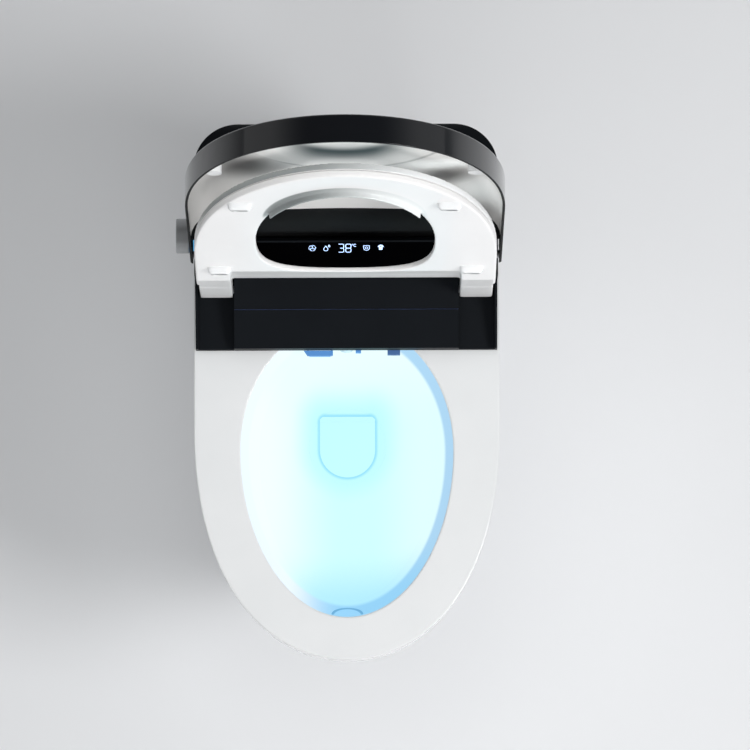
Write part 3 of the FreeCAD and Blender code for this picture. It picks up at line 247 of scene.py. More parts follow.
def opened(material):
    # the node tree of a material and its shader
    return material.node_tree, material.node_tree.nodes["Principled BSDF"]


def feeding(shader, key):
    # the socket that feeds an input of the shader so far
    return shader.inputs[key].links[0].from_socket


def makeFinish(name, settings):
    # two near tones mixed by the cloud, and a roughness that follows it
    look = dict(plainFinish, **settings)
    material = newMaterial(name)
    tree, shader = opened(material)
    detail = addNode(tree, "ShaderNodeGroup", node_tree=surfaceDetail)
    for label, key in (("Radius", "edge"), ("Grain", "grain"), ("Depth", "depth"), ("Cloud", "cloud")):
        detail.inputs[label].default_value = look[key]
    rough = addNode(tree, "ShaderNodeMapRange", {"To Min": look["rough"][0], "To Max": look["rough"][1]})
    tree.links.new(detail.outputs["Tone"], rough.inputs["Value"])
    colour = mixColour(tree, detail.outputs["Tone"], look["dark"], look["light"])
    tree.links.new(colour, shader.inputs["Base Color"])
    tree.links.new(rough.outputs[0], shader.inputs["Roughness"])
    tree.links.new(detail.outputs["Normal"], shader.inputs["Normal"])
    shader.inputs["Metallic"].default_value = look["metal"]
    shader.inputs["Coat Weight"].default_value = look["coat"]
    shader.inputs["Coat Roughness"].default_value = look["coatRough"]
    shader.inputs["Specular IOR Level"].default_value = look["specular"]
    if "glow" in look:
        shader.inputs["Emission Color"].default_value = look["glow"]
        shader.inputs["Emission Strength"].default_value = look["power"]
    return material


finishes = {
    "white_plastic": dict(dark=srgb(232, 234, 236), light=srgb(240, 241, 243), rough=(0.26, 0.34), coat=0.2,
                          edge=0.0022, depth=0.03),
    "grey_plastic": dict(dark=srgb(206, 211, 213), light=srgb(217, 221, 223), rough=(0.2, 0.28), coat=0.4, depth=0.03),
    "gloss_black": dict(dark=srgb(13, 15, 19), light=srgb(18, 20, 24), rough=(0.1, 0.16), coat=0.5, coatRough=0.04,
                        depth=0.01),
    "satin_black": dict(dark=srgb(14, 17, 21), light=srgb(18, 21, 25), rough=(0.45, 0.55), grain=2600.0, depth=0.16,
                        specular=0.12, edge=0.0),
    "display_glass": dict(dark=srgb(1, 1, 2), light=srgb(3, 3, 4), rough=(0.2, 0.26), depth=0.0, edge=0.0,
                          specular=0.006),
    "white_rubber": dict(dark=srgb(228, 230, 231), light=srgb(236, 237, 238), rough=(0.5, 0.6), depth=0.12, edge=0.003),
    "dark_rubber": dict(dark=srgb(34, 34, 36), light=srgb(44, 44, 46), rough=(0.6, 0.75), depth=0.25),
    "steel": dict(dark=srgb(176, 178, 182), light=srgb(196, 198, 202), rough=(0.22, 0.35), metal=1.0, depth=0.06),
    "knob_metal": dict(dark=srgb(160, 162, 164), light=srgb(176, 178, 180), rough=(0.36, 0.46), metal=0.6, depth=0.05,
                       edge=0.0008),
    "light_guide": dict(dark=srgb(110, 185, 205), light=srgb(130, 205, 225), rough=(0.3, 0.4), glow=srgb(70, 160, 225),
                        power=0.7),
    "nozzle_white": dict(dark=srgb(214, 219, 224), light=srgb(226, 230, 234), rough=(0.22, 0.3), coat=0.4),
    "motor_metal": dict(dark=srgb(140, 142, 145), light=srgb(164, 166, 168), rough=(0.3, 0.42), metal=1.0, depth=0.08),
    "fan_plastic": dict(dark=srgb(44, 45, 48), light=srgb(58, 59, 62), rough=(0.4, 0.55), depth=0.15),
    "carbon": dict(dark=srgb(22, 22, 23), light=srgb(40, 40, 41), rough=(0.7, 0.9), grain=500.0, depth=0.8),
    "heater_plastic": dict(dark=srgb(196, 198, 194), light=srgb(212, 213, 209), rough=(0.4, 0.5), depth=0.12),
    "board_green": dict(dark=srgb(22, 84, 46), light=srgb(30, 106, 58), rough=(0.3, 0.42), depth=0.1),
    "brass": dict(dark=srgb(186, 152, 86), light=srgb(208, 176, 108), rough=(0.2, 0.32), metal=1.0, depth=0.06)}
nightLightPainted = {  # small pieces with painted night light: their blue tint and glow stand in for the night light falling on them; the lens itself is the night light
    "foam_outlet_cap": dict(dark=srgb(60, 84, 96), light=srgb(66, 90, 102), rough=(0.3, 0.4), glow=srgb(146, 206, 244),
                            power=0.95, edge=0.0, specular=0.1),
    "dryer_flap": dict(dark=srgb(50, 84, 124), light=srgb(58, 94, 136), rough=(0.3, 0.4), glow=srgb(84, 142, 208),
                       power=0.7),
    "flush_spout": dict(dark=srgb(46, 64, 92), light=srgb(54, 76, 108), rough=(0.3, 0.4), glow=srgb(72, 112, 170),
                        power=0.55),
    "night_light_lens": dict(dark=srgb(50, 84, 124), light=srgb(58, 94, 136), rough=(0.3, 0.4), glow=srgb(84, 142, 208),
                             power=0.75),
    "nozzle_tip": dict(dark=srgb(150, 172, 182), light=srgb(166, 188, 198), rough=(0.3, 0.4), glow=srgb(196, 226, 236),
                       power=0.6)}
# glaze colours, and the painted night-light glow in the bowl: a dark base colour under it and emission colours by place
china = dict(dark=srgb(230, 232, 233), light=srgb(238, 239, 240), rough=(0.1, 0.16), coat=0.4, specular=0.5, edge=0.004,
             depth=0.01, power=0.95, wet=srgb(70, 92, 100), left=srgb(244, 254, 255), middle=srgb(209, 252, 255),
             right=srgb(226, 253, 255), rear=srgb(236, 254, 255), front=srgb(178, 234, 253), halo=srgb(190, 247, 254),
             sumpEdge=srgb(150, 222, 248), sumpFloor=srgb(198, 249, 255), bandLeft=srgb(240, 247, 253),
             bandRight=srgb(172, 211, 240), bandFront=srgb(148, 208, 245))
chinaSpans = dict(middle=(-0.82, -0.05), right=(0.2, 0.75), rear=(0.25, 0.8), frontAlong=(-0.5, -0.95),
                  frontAcross=(-0.75, -0.2), halo=(0.04, 0.0), haloShare=0.85, sumpEdge=(0.0048, 0.0004),
                  sumpFloor=(0.1945, 0.1915), bandAcross=(-0.55, 0.25), bandFrontAlong=(-0.45, -0.9),
                  bandFrontAcross=(-0.6, 0.0), band=(0.905, 0.935))


def makeChina(settings, spans):
    # white glaze; in the bowl a painted glow stands in for the night light falling on it: the base colour is dark
    # there, and the emission is white on the left, pale cyan in the middle, blue on the sloped band under the rim and
    # in a soft halo round the sump, with other tones along the sump's outline and on its floor
    material = makeFinish("glazed_china", settings)
    tree, shader = opened(material)
    place = addNode(tree, "ShaderNodeGroup", node_tree=bowlPlace)
    inside, across, along, height, sump = [place.outputs[k] for k in ("Inside", "Across", "Along", "Height", "Sump")]
    paintedGlow = mixColour(tree, softStep(tree, across, spans["middle"]), settings["left"], settings["middle"])
    paintedGlow = mixColour(tree, softStep(tree, across, spans["right"]), paintedGlow, settings["right"])
    paintedGlow = mixColour(tree, softStep(tree, along, spans["rear"]), paintedGlow, settings["rear"])
    fall = product(tree, softStep(tree, along, spans["frontAlong"]), softStep(tree, across, spans["frontAcross"]))
    paintedGlow = mixColour(tree, fall, paintedGlow, settings["front"])
    near = product(tree, softStep(tree, sump, spans["halo"]), spans["haloShare"])
    paintedGlow = mixColour(tree, near, paintedGlow, settings["halo"])
    outline = softStep(tree, addMath(tree, "ABSOLUTE", sump), spans["sumpEdge"])
    paintedGlow = mixColour(tree, outline, paintedGlow, settings["sumpEdge"])
    paintedGlow = mixColour(tree, softStep(tree, height, spans["sumpFloor"]), paintedGlow, settings["sumpFloor"])
    band = mixColour(tree, softStep(tree, across, spans["bandAcross"]), settings["bandLeft"], settings["bandRight"])
    low = product(tree, softStep(tree, along, spans["bandFrontAlong"]),
                  softStep(tree, across, spans["bandFrontAcross"]))
    band = mixColour(tree, low, band, settings["bandFront"])
    paintedGlow = mixColour(tree, softStep(tree, lengthOf(tree, across, along), spans["band"]), paintedGlow, band)
    # painted glow: the base colour inside the bowl is darkened so that the painted light sets its tone
    glaze = mixColour(tree, inside, feeding(shader, "Base Color"), settings["wet"])
    outside = flipped(tree, inside)
    tree.links.new(glaze, shader.inputs["Base Color"])
    tree.links.new(paintedGlow, shader.inputs["Emission Color"])
    tree.links.new(product(tree, inside, settings["power"]), shader.inputs["Emission Strength"])
    tree.links.new(product(tree, outside, settings["coat"]), shader.inputs["Coat Weight"])
    tree.links.new(product(tree, outside, settings["specular"]), shader.inputs["Specular IOR Level"])
    return material


capRing = dict(centreY=-0.330, squash=0.577, line=(0.0165, 0.0188), paintedGlow=srgb(92, 160, 206))


def makeCap(settings, ring):
    # the half round cap in the band, glowing with painted night light, the glow darker and bluer along its edge
    material = makeFinish("foam_outlet_cap", settings)
    tree, shader = opened(material)
    spot = partsOf(tree, addNode(tree, "ShaderNodeTexCoord").outputs["Object"])
    slope = addMath(tree, "DIVIDE", addMath(tree, "SUBTRACT", spot["Y"], ring["centreY"]), ring["squash"])
    line = softStep(tree, lengthOf(tree, spot["X"], slope), ring["line"])
    tree.links.new(mixColour(tree, line, settings["glow"], ring["paintedGlow"]), shader.inputs["Emission Color"])
    return material


lidGloss = dict(inner=srgb(7, 10, 12), innerRough=0.62, outward=(-0.9, -0.7))


def makeLidGloss(settings, gloss):
    # polished outside; the face that turns to the seat is plain and dull
    material = makeFinish("gloss_black", settings)
    tree, shader = opened(material)
    facing = partsOf(tree, addNode(tree, "ShaderNodeTexCoord").outputs["Normal"])
    outer = softStep(tree, facing["Y"], gloss["outward"])
    colour, rough = [feeding(shader, key) for key in ("Base Color", "Roughness")]
    tree.links.new(mixColour(tree, outer, gloss["inner"], colour), shader.inputs["Base Color"])
    dull = product(tree, flipped(tree, outer), gloss["innerRough"])
    tree.links.new(addMath(tree, "ADD", rough, dull), shader.inputs["Roughness"])
    tree.links.new(product(tree, outer, settings["coat"]), shader.inputs["Coat Weight"])
    return material


materials = {slot: makeFinish(slot, settings) for slot, settings in finishes.items() if slot != "gloss_black"}
materials["gloss_black"] = makeLidGloss(finishes["gloss_black"], lidGloss)
materials["glazed_china"] = makeChina(china, chinaSpans)
for entry in frame["record"]["subparts"]:
    shape = nodes[entry["node"]]
    shape.data.materials.clear()
    shape.data.materials.append(materials[entry["material_slot"]])
# each of these pieces gets its painted night-light tint and glow
for name, settings in nightLightPainted.items():
    isCap = name == "foam_outlet_cap"
    nodes[name].data.materials[0] = makeCap(settings, capRing) if isCap else makeFinish(name, settings)
print("stage: materials on", len(nodes), "nodes")


# Meshes
def addPiece(name, points, faces, material, body, slot, smooth=True):
    mesh = bpy.data.meshes.new(name)
    mesh.from_pydata(np.asarray(points).tolist(), [], [tuple(face) for face in faces])
    mesh.polygons.foreach_set("use_smooth", [smooth] * len(mesh.polygons))
    mesh.materials.append(material)
    piece = bpy.data.objects.new(name, mesh)
    scene.collection.objects.link(piece)
    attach(piece, body)
    return piece


def swung(points, hinge):
    # points drawn level, turned about a hinge line across the part
    turn = math.radians(hinge["open"])
    y, z = points[..., 1] - hinge["axisY"], points[..., 2] - hinge["axisZ"]
    return np.stack([points[..., 0], hinge["axisY"] + y * math.cos(turn) - z * math.sin(turn),
                     hinge["axisZ"] + y * math.sin(turn) + z * math.cos(turn)], axis=-1)


def gridQuads(index):
    # four sided faces between the rows of a grid of point numbers that closes on itself along each row
    ahead = np.roll(index, -1, axis=1)
    return np.stack([index[:-1], index[1:], ahead[1:], ahead[:-1]], axis=-1).reshape(-1, 4).tolist()


def bezier(start, pullA, pullB, stop, count):
    # cubic curve from start to stop, drawn towards both pulls
    t = np.linspace(0, 1, count)[:, None]
    start, pullA, pullB, stop = [np.array(p, float) for p in (start, pullA, pullB, stop)]
    return (1 - t) ** 3 * start + 3 * (1 - t) ** 2 * t * pullA + 3 * (1 - t) * t ** 2 * pullB + t ** 3 * stop


def evenly(points, count):
    # the same closed line with points at even steps along it
    line = np.vstack([points, points[:1]])
    steps = np.concatenate([[0], np.cumsum(np.linalg.norm(np.diff(line, axis=0), axis=1))])
    spots = np.linspace(0, steps[-1], count, endpoint=False)
    return np.column_stack([np.interp(spots, steps, line[:, k]) for k in range(2)])


# Inner dish of the lid, drawn level in metres and swung open with it
dish = dict(lidHinge, half=0.1925, front=0.38536, nose=0.275, tipPull=0.10214, sidePull=0.09625, rear=-0.019, arch=0.58,
            edge=0.4805, floor=0.5073, back=0.5104, border=0.032, scoopY=-0.329, scoopR=0.126, swell=0.0042,
            swellWide=0.45, sink=0.0022, middle=-0.17, skirtPast=0.1, around=420, rings=70, tipSteps=160, sideSteps=30,
            rearSteps=40, skirtSteps=120)


def lidDish(settings):
    # rings shrink from the outline to the middle; the height follows the distance to the skirt as a quarter round
    # that eases into the floor, which swells towards a round scoop near the tip and sinks inside it
    half, front, rear, arch = settings["half"], settings["front"], settings["rear"], settings["arch"]
    side = -front + settings["nose"]
    tipHalf = bezier((0, -front), (settings["tipPull"], -front), (half, -front + settings["sidePull"]), (half, side),
                     settings["tipSteps"])
    cornerY = rear + arch - math.sqrt(arch ** 2 - half ** 2)
    right = np.vstack([tipHalf, [(half, y) for y in np.linspace(side, cornerY, settings["sideSteps"])[1:]]])
    turn = np.linspace(math.asin(half / arch), 0, settings["rearSteps"])[1:]
    right = np.vstack([right, np.column_stack([arch * np.sin(turn), rear + arch - arch * np.cos(turn)])])
    outline = evenly(np.vstack([right, right[-2:0:-1] * [-1, 1]]), settings["around"])
    skirtEnd = cornerY + settings["skirtPast"]
    skirt = np.vstack([tipHalf, [(half, y) for y in np.linspace(side, skirtEnd, settings["skirtSteps"])[1:]]])
    skirt = np.vstack([skirt[::-1] * [-1, 1], skirt[1:]])
    starts, legs = skirt[:-1], np.diff(skirt, axis=0)

    def toSkirt(row):
        # distance of each point to the nearest straight leg of the skirt
        gap = row[:, None, :] - starts
        foot = np.clip(np.sum(gap * legs, axis=2) / np.sum(legs * legs, axis=1), 0, 1)
        return np.min(np.linalg.norm(gap - foot[..., None] * legs, axis=2), axis=1)

    middle = np.array([0.0, settings["middle"]])
    share = 1 - np.linspace(1, 0, settings["rings"]) ** 2
    plan = middle + share[1:, None, None] * (outline - middle)
    reach = np.array([toSkirt(row) for row in plan])
    rise = np.sqrt(1 - (1 - np.clip(reach / settings["border"], 0, 1)) ** 2)
    away = np.hypot(plan[..., 0], plan[..., 1] - settings["scoopY"]) / settings["scoopR"]
    swell, sink = settings["swell"], settings["sink"]
    shape = np.where(away > 1, -swell * np.exp(-((away - 1) / settings["swellWide"]) ** 2),
                     sink - (sink + swell) * away ** 4)
    z = settings["edge"] + (settings["floor"] - settings["edge"]) * rise + shape * rise ** 2
    frontRows = np.concatenate([plan, z[..., None]], axis=2)
    backRows = np.concatenate([plan[::-1], np.full(z.shape + (1,), settings["back"])], axis=2)
    grid = np.concatenate([frontRows, backRows])
    rows, cols = grid.shape[:2]
    poles = np.array([[0, middle[1], settings["floor"] + shape[0].mean()], [0, middle[1], settings["back"]]])
    index = np.arange(rows * cols).reshape(rows, cols)
    ahead = np.roll(index, -1, axis=1)
    fans = [(rows * cols, index[0, i], ahead[0, i]) for i in range(cols)]
    fans += [(rows * cols + 1, ahead[-1, i], index[-1, i]) for i in range(cols)]
    return swung(np.vstack([grid.reshape(-1, 3), poles]), settings), gridQuads(index) + fans


# dish colours with painted reflection: the shade colour painted in the scoop, along its rim and on the shoulders, and
# the gleam as a painted highlight, shown only at grazing angles
dishTone = dict(dark=srgb(229, 228, 226), light=srgb(236, 235, 233), rough=(0.3, 0.38), coat=0.0, specular=0.2,
                edge=0.0, depth=0.02, shade=srgb(26, 25, 26), line=0.4, lineWide=(0.035, 0.0), ringIn=(0.42, 0.6),
                ringOut=(1.0, 0.6), ringSide=(0.1, 0.03), reflectionPatch=(1.0, 0.1), blend=0.5, grazing=(0.5, 0.64),
                spots=((-0.122, -0.214, 0.07, 0.085, 0.8), (0.121, -0.160, 0.05, 0.05, 0.75)),
                gleam=srgb(236, 244, 244),
                gleams=((0.118, -0.215, 0.06, 0.035, 0.4), (0.165, -0.1, 0.05, 0.09, 0.36)))


def makeDish(settings, shape):
    # satin inner face with painted reflection: seen at a slant, painted darkening in the scoop, along its rim and on
    # both shoulders stands in for the dark unit mirrored there, and painted highlights on the right stand in for
    # mirrored light
    material = makeFinish("dishPlastic", settings)
    tree, shader = opened(material)
    spot = partsOf(tree, addNode(tree, "ShaderNodeGroup", node_tree=lidLevel).outputs["Place"])

    def away(x, y, wide, deep):
        return lengthOf(tree, addMath(tree, "DIVIDE", addMath(tree, "SUBTRACT", spot["X"], x), wide),
                        addMath(tree, "DIVIDE", addMath(tree, "SUBTRACT", spot["Y"], y), deep))

    def reflectionPatches(start, places):
        # the strongest of some soft ovals of painted reflection, each given by its centre, half axes and weight
        for x, y, wide, deep, weight in places:
            reflectionPatch = product(tree, softStep(tree, away(x, y, wide, deep), settings["reflectionPatch"]), weight)
            start = addMath(tree, "MAXIMUM", start, reflectionPatch)
        return start

    scoop = away(0.0, shape["scoopY"], shape["scoopR"], shape["scoopR"])
    paintedDarkReflection = product(tree, softStep(tree, scoop, settings["ringIn"]), softStep(tree, scoop, settings["ringOut"]))
    paintedDarkReflection = product(tree, paintedDarkReflection, softStep(tree, addMath(tree, "ABSOLUTE", spot["X"]), settings["ringSide"]))
    fromRim = addMath(tree, "ABSOLUTE", addMath(tree, "SUBTRACT", scoop, 1.0))
    rim = product(tree, softStep(tree, fromRim, settings["lineWide"]), settings["line"])
    paintedDarkReflection = reflectionPatches(addMath(tree, "MAXIMUM", paintedDarkReflection, rim), settings["spots"])
    weigh = addNode(tree, "ShaderNodeLayerWeight", {"Blend": settings["blend"]})
    slant = softStep(tree, weigh.outputs["Facing"], settings["grazing"])
    gleam = product(tree, reflectionPatches(0.0, settings["gleams"]), slant)
    # painted reflection mixed into the base colour, and a painted highlight as emission, at grazing angles only
    colour = mixColour(tree, product(tree, paintedDarkReflection, slant), feeding(shader, "Base Color"), settings["shade"])
    shader.inputs["Emission Color"].default_value = settings["gleam"]
    tree.links.new(gleam, shader.inputs["Emission Strength"])
    tree.links.new(colour, shader.inputs["Base Color"])
    return material


dishPiece = addPiece("lidDish", *lidDish(dish), makeDish(dishTone, dish), "lid", "grey_plastic")
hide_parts("lid_liner")
print("stage: lid dish")

# Pads under the seat, drawn level and swung open with it
bumpers = dict(seatHinge, spots=((0.127, -0.282), (0.1565, -0.072)), half=(0.015, 0.007), high=0.414, low=0.4056,
               square=0.55, drawn=0.97, around=48, rings=10)


def bumperPads(settings):
    # each pad is a rounded oblong whose outline draws in as a quarter round towards its foot
    turn = np.linspace(0, 2 * np.pi, settings["around"], endpoint=False)
    share = np.linspace(0, 1, settings["rings"])
    half = np.array(settings["half"])
    way = np.column_stack([np.cos(turn), np.sin(turn)])
    outline = np.sign(way) * np.abs(way) ** settings["square"] * half
    inset = (1 - np.sqrt(1 - (share * settings["drawn"]) ** 2)) * half[1]
    scale = 1 - inset[:, None] / half[None, :]
    flat = scale[:, None, :] * outline[None, :, :]
    height = settings["high"] + (settings["low"] - settings["high"]) * share
    pad = np.concatenate([flat, np.repeat(height[:, None, None], settings["around"], axis=1)], axis=2)
    rows, cols = pad.shape[:2]
    index = np.arange(rows * cols).reshape(rows, cols)
    padFaces = gridQuads(index) + [index[-1].tolist(), index[0][::-1].tolist()]
    points, faces = [], []
    for x, y in settings["spots"]:
        for side in (-1, 1):
            faces += [[i + len(points) * rows * cols for i in face] for face in padFaces]
            points.append(pad.reshape(-1, 3) + [side * x, y, 0.0])
    return swung(np.vstack(points), settings), faces


padFinish = makeFinish("bumperRubber", dict(finishes["white_rubber"], edge=0.0))
padPiece = addPiece("seatBumperPads", *bumperPads(bumpers), padFinish, "seat", "white_rubber")
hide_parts("seat_bumpers")
print("stage: seat bumpers")

# Seat shells: a merged copy of each solid, drawn level, rebuilt at an even step and relaxed so its edges turn soft
seat = dict(seatHinge, weld=2e-5, step=0.0016, rounds=5, factor=0.5)


def softShell(name, node, settings, material):
    level = Matrix.Translation((0, settings["axisY"], settings["axisZ"])) @ Matrix.Rotation(
        math.radians(-settings["open"]), 4, "X") @ Matrix.Translation((0, -settings["axisY"], -settings["axisZ"]))
    shell = bmesh.new()
    shell.from_mesh(nodes[node].data)
    bmesh.ops.remove_doubles(shell, verts=shell.verts, dist=settings["weld"])
    bmesh.ops.transform(shell, matrix=level, verts=shell.verts)
    mesh = bpy.data.meshes.new(name)
    shell.to_mesh(mesh)
    shell.free()
    piece = bpy.data.objects.new(name, mesh)
    scene.collection.objects.link(piece)
    even = piece.modifiers.new("even", "REMESH")
    even.mode, even.voxel_size = "VOXEL", settings["step"]
    relax = piece.modifiers.new("relax", "SMOOTH")
    relax.factor, relax.iterations = settings["factor"], settings["rounds"]
    done = bpy.data.meshes.new_from_object(piece.evaluated_get(bpy.context.evaluated_depsgraph_get()))
    piece.modifiers.clear()
    piece.data = done
    done.transform(level.inverted())
    done.polygons.foreach_set("use_smooth", [True] * len(done.polygons))
    done.materials.clear()
    done.materials.append(material)
    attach(piece, "seat")
    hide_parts(node)
    print("stage:", name, len(done.polygons), "faces")


# seat colours, with painted shade on the nose's side wall and on the lip at the front of the hole, darkest on the left
seatTone = dict(finishes["white_plastic"], edge=0.0, dark=srgb(231, 230, 230), light=srgb(239, 238, 238), half=0.187,
                centre=-0.184, wallShadeLeft=srgb(142, 147, 147), wallShadeRight=srgb(230, 232, 233), wallAcross=(-0.06, 0.13),
                wallSteep=(0.8, 0.5), wallReach=(0.86, 0.92), wallAlong=(-0.15, -0.24), lipWide=0.102, lipDeep=0.101,
                lipY=-0.235, lipShadeLeft=srgb(140, 145, 145), lipShadeRight=srgb(226, 229, 229), lipAcross=(-0.07, 0.09),
                lipReach=(1.0, 0.97), lipAlong=(-0.235, -0.25))


def makeSeat(name, settings, under):
    # white plastic with painted shade: the nose's side wall, or the lip along the front of the hole, goes greyer
    # towards the left, away from the light on the right
    material = makeFinish(name, settings)
    tree, shader = opened(material)
    level = addNode(tree, "ShaderNodeGroup", node_tree=seatLevel)
    spot, facing = [partsOf(tree, level.outputs[label]) for label in ("Place", "Facing")]
    if under:
        along = addMath(tree, "SUBTRACT", spot["Y"], settings["lipY"])
        away = lengthOf(tree, addMath(tree, "DIVIDE", spot["X"], settings["lipWide"]),
                        addMath(tree, "DIVIDE", along, settings["lipDeep"]))
        mask = product(tree, softStep(tree, away, settings["lipReach"]),
                       softStep(tree, spot["Y"], settings["lipAlong"]))
        across, left, right = settings["lipAcross"], settings["lipShadeLeft"], settings["lipShadeRight"]
    else:
        along = addMath(tree, "MINIMUM", addMath(tree, "SUBTRACT", spot["Y"], settings["centre"]))
        away = lengthOf(tree, addMath(tree, "DIVIDE", spot["X"], settings["half"]),
                        addMath(tree, "DIVIDE", along, settings["half"]))
        steep = softStep(tree, addMath(tree, "ABSOLUTE", facing["Z"]), settings["wallSteep"])
        mask = product(tree, steep, softStep(tree, away, settings["wallReach"]))
        mask = product(tree, mask, softStep(tree, spot["Y"], settings["wallAlong"]))
        across, left, right = settings["wallAcross"], settings["wallShadeLeft"], settings["wallShadeRight"]
    # painted shade, darker towards the left
    tone = mixColour(tree, softStep(tree, spot["X"], across), left, right)
    tree.links.new(mixColour(tree, mask, feeding(shader, "Base Color"), tone), shader.inputs["Base Color"])
    return material


softShell("seatTopShell", "seat_top", seat, makeSeat("seatTopPlastic", seatTone, False))
softShell("seatUnderShell", "seat_base", seat, makeSeat("seatUnderPlastic", seatTone, True))

# Lip over the dryer mouth, a thin plate under the front edge of the block
hood = dict(plan=((-0.0545, 0.0086), (-0.0500, 0.0018), (-0.0180, 0.0018), (-0.0173, 0.0025), (-0.0173, 0.0086)),
            low=0.40485, high=0.40525)


def flatPlate(settings):
    # the flat outline at two levels, closed round its edge
    flat = np.array(settings["plan"])
    count = len(flat)
    points = np.vstack([np.column_stack([flat, np.full(count, settings[level])]) for level in ("low", "high")])
    ring = [(i, (i + 1) % count, count + (i + 1) % count, count + i) for i in range(count)]
    return points, ring + [tuple(range(count))[::-1], tuple(range(count, 2 * count))]


# the hood takes the dryer flap's painted night-light tint and glow
hoodFinish = makeFinish("dryerHood", dict(nightLightPainted["dryer_flap"], edge=0.0))
addPiece("dryerHood", *flatPlate(hood), hoodFinish, "toilet", "grey_plastic", smooth=False)
print("stage: dryer hood")

# Painted highlight: a thin bluish strip on the floor of the groove across the block stands in for the line of light
# along it
groove = dict(plan=((-0.1416, 0.0546), (0.1416, 0.0546), (0.1416, 0.0554), (-0.1416, 0.0554)), low=0.4470, high=0.4478)
grooveHighlightTone = dict(finishes["satin_black"], dark=srgb(74, 88, 128), light=srgb(82, 98, 140))
grooveHighlightFinish = makeFinish("grooveHighlight", grooveHighlightTone)
addPiece("grooveHighlight", *flatPlate(groove), grooveHighlightFinish, "toilet", "satin_black", smooth=False)

# Strips along both sides of the bowl's floor, where its flat meets the wall, in the glazed china with its painted glow,
# laid over the dark line at that crease
creaseCover = dict(plan=((0.0455, -0.114), (0.0530, -0.114), (0.0530, -0.066), (0.0455, -0.066)), low=0.1948, high=0.1956)
creaseCoverPoints, creaseCoverFaces = flatPlate(creaseCover)
creaseCoverFaces = creaseCoverFaces + [tuple(i + len(creaseCoverPoints) for i in face[::-1]) for face in creaseCoverFaces]
creaseCoverPoints = np.vstack([creaseCoverPoints, creaseCoverPoints * [-1, 1, 1]])
addPiece("bowlFloorGlowStrips", creaseCoverPoints, creaseCoverFaces, materials["glazed_china"], "toilet", "glazed_china", smooth=False)
print("stage: groove and bowl floor")


# Lit marks on the display: figures and plain icons as thin ribbons on the sloped glass
display = dict(footY=0.0975, footZ=0.465, headY=0.119, headZ=0.487, lift=0.00025, glow=srgb(186, 214, 255), power=1.5,
               dim=0.85, bright=1.1, dots=1800.0)


def makeGlow(name, settings):
    # a light whose strength flickers a little from dot to dot
    material = newMaterial(name)
    tree, shader = opened(material)
    coords = addNode(tree, "ShaderNodeTexCoord")
    dots = addNode(tree, "ShaderNodeTexNoise", {"Scale": settings["dots"]})
    level = addNode(tree, "ShaderNodeMapRange", {"To Min": settings["power"] * settings["dim"],
                                                 "To Max": settings["power"] * settings["bright"]})
    tree.links.new(coords.outputs["Object"], dots.inputs["Vector"])
    tree.links.new(dots.outputs["Fac"], level.inputs["Value"])
    tree.links.new(level.outputs[0], shader.inputs["Emission Strength"])
    shader.inputs["Base Color"].default_value = settings["glow"]
    shader.inputs["Emission Color"].default_value = settings["glow"]
    return material


def onDisplay(points, settings):
    # flat point (across, up the glass) to a point on the sloped face
    flat = np.asarray(points, float)
    along, lift = flat[:, 1], settings["lift"]
    rise = math.atan2(settings["headZ"] - settings["footZ"], settings["headY"] - settings["footY"])
    cosine, sine = math.cos(rise), math.sin(rise)
    return np.column_stack([flat[:, 0], settings["footY"] + along * cosine - lift * sine,
                            settings["footZ"] + along * sine + lift * cosine])


def ribbon(points, width, closed):
    # a flat strip of even width along a polyline, mitred at its corners
    line = np.asarray(points, float)
    ahead = np.roll(line, -1, axis=0) - line
    if not closed:
        ahead[-1] = ahead[-2]
    behind = np.roll(ahead, 1, axis=0)
    if not closed:
        behind[0] = ahead[0]

    def unit(ways):
        return ways / np.linalg.norm(ways, axis=1, keepdims=True)

    normalA, normalB = [np.column_stack([-way[:, 1], way[:, 0]]) for way in (unit(ahead), unit(behind))]
    middle = unit(normalA + normalB)
    stretch = np.clip(np.sum(middle * normalA, axis=1, keepdims=True), 0.5, 1.0)  # no mitre longer than twice
    offset = middle / stretch * width / 2
    count = len(line)
    quads = [(i, (i + 1) % count, count + (i + 1) % count, count + i) for i in range(count if closed else count - 1)]
    return np.vstack([line + offset, line - offset]), quads


def arc(centre, radius, start, stop, count=14):
    turn = np.radians(np.linspace(start, stop, count))
    return np.column_stack([centre[0] + radius * np.cos(turn), centre[1] + radius * np.sin(turn)])


def buildMarks(name, strokes, settings, material):
    points, faces = [], []
    for line, width, closed in strokes:
        flat, quads = ribbon(line, width, closed)
        faces += [tuple(len(points) + i for i in quad) for quad in quads]
        points += list(flat)
    addPiece(name, onDisplay(points, settings), faces, material, "toilet", "display_glass", smooth=False)


figures = dict(low=0.0347, high=0.0473, width=0.0066, stroke=0.00095, left=-0.0094, step=0.0091, corner=0.0018,
               tipIn=0.0002, waistIn=0.0022, unitGap=0.0018, ringDrop=0.0008, ringR=0.0007, ringStroke=0.0005,
               letterGap=0.0034, letterDrop=0.0019, letterR=0.0018, letterStroke=0.0008)


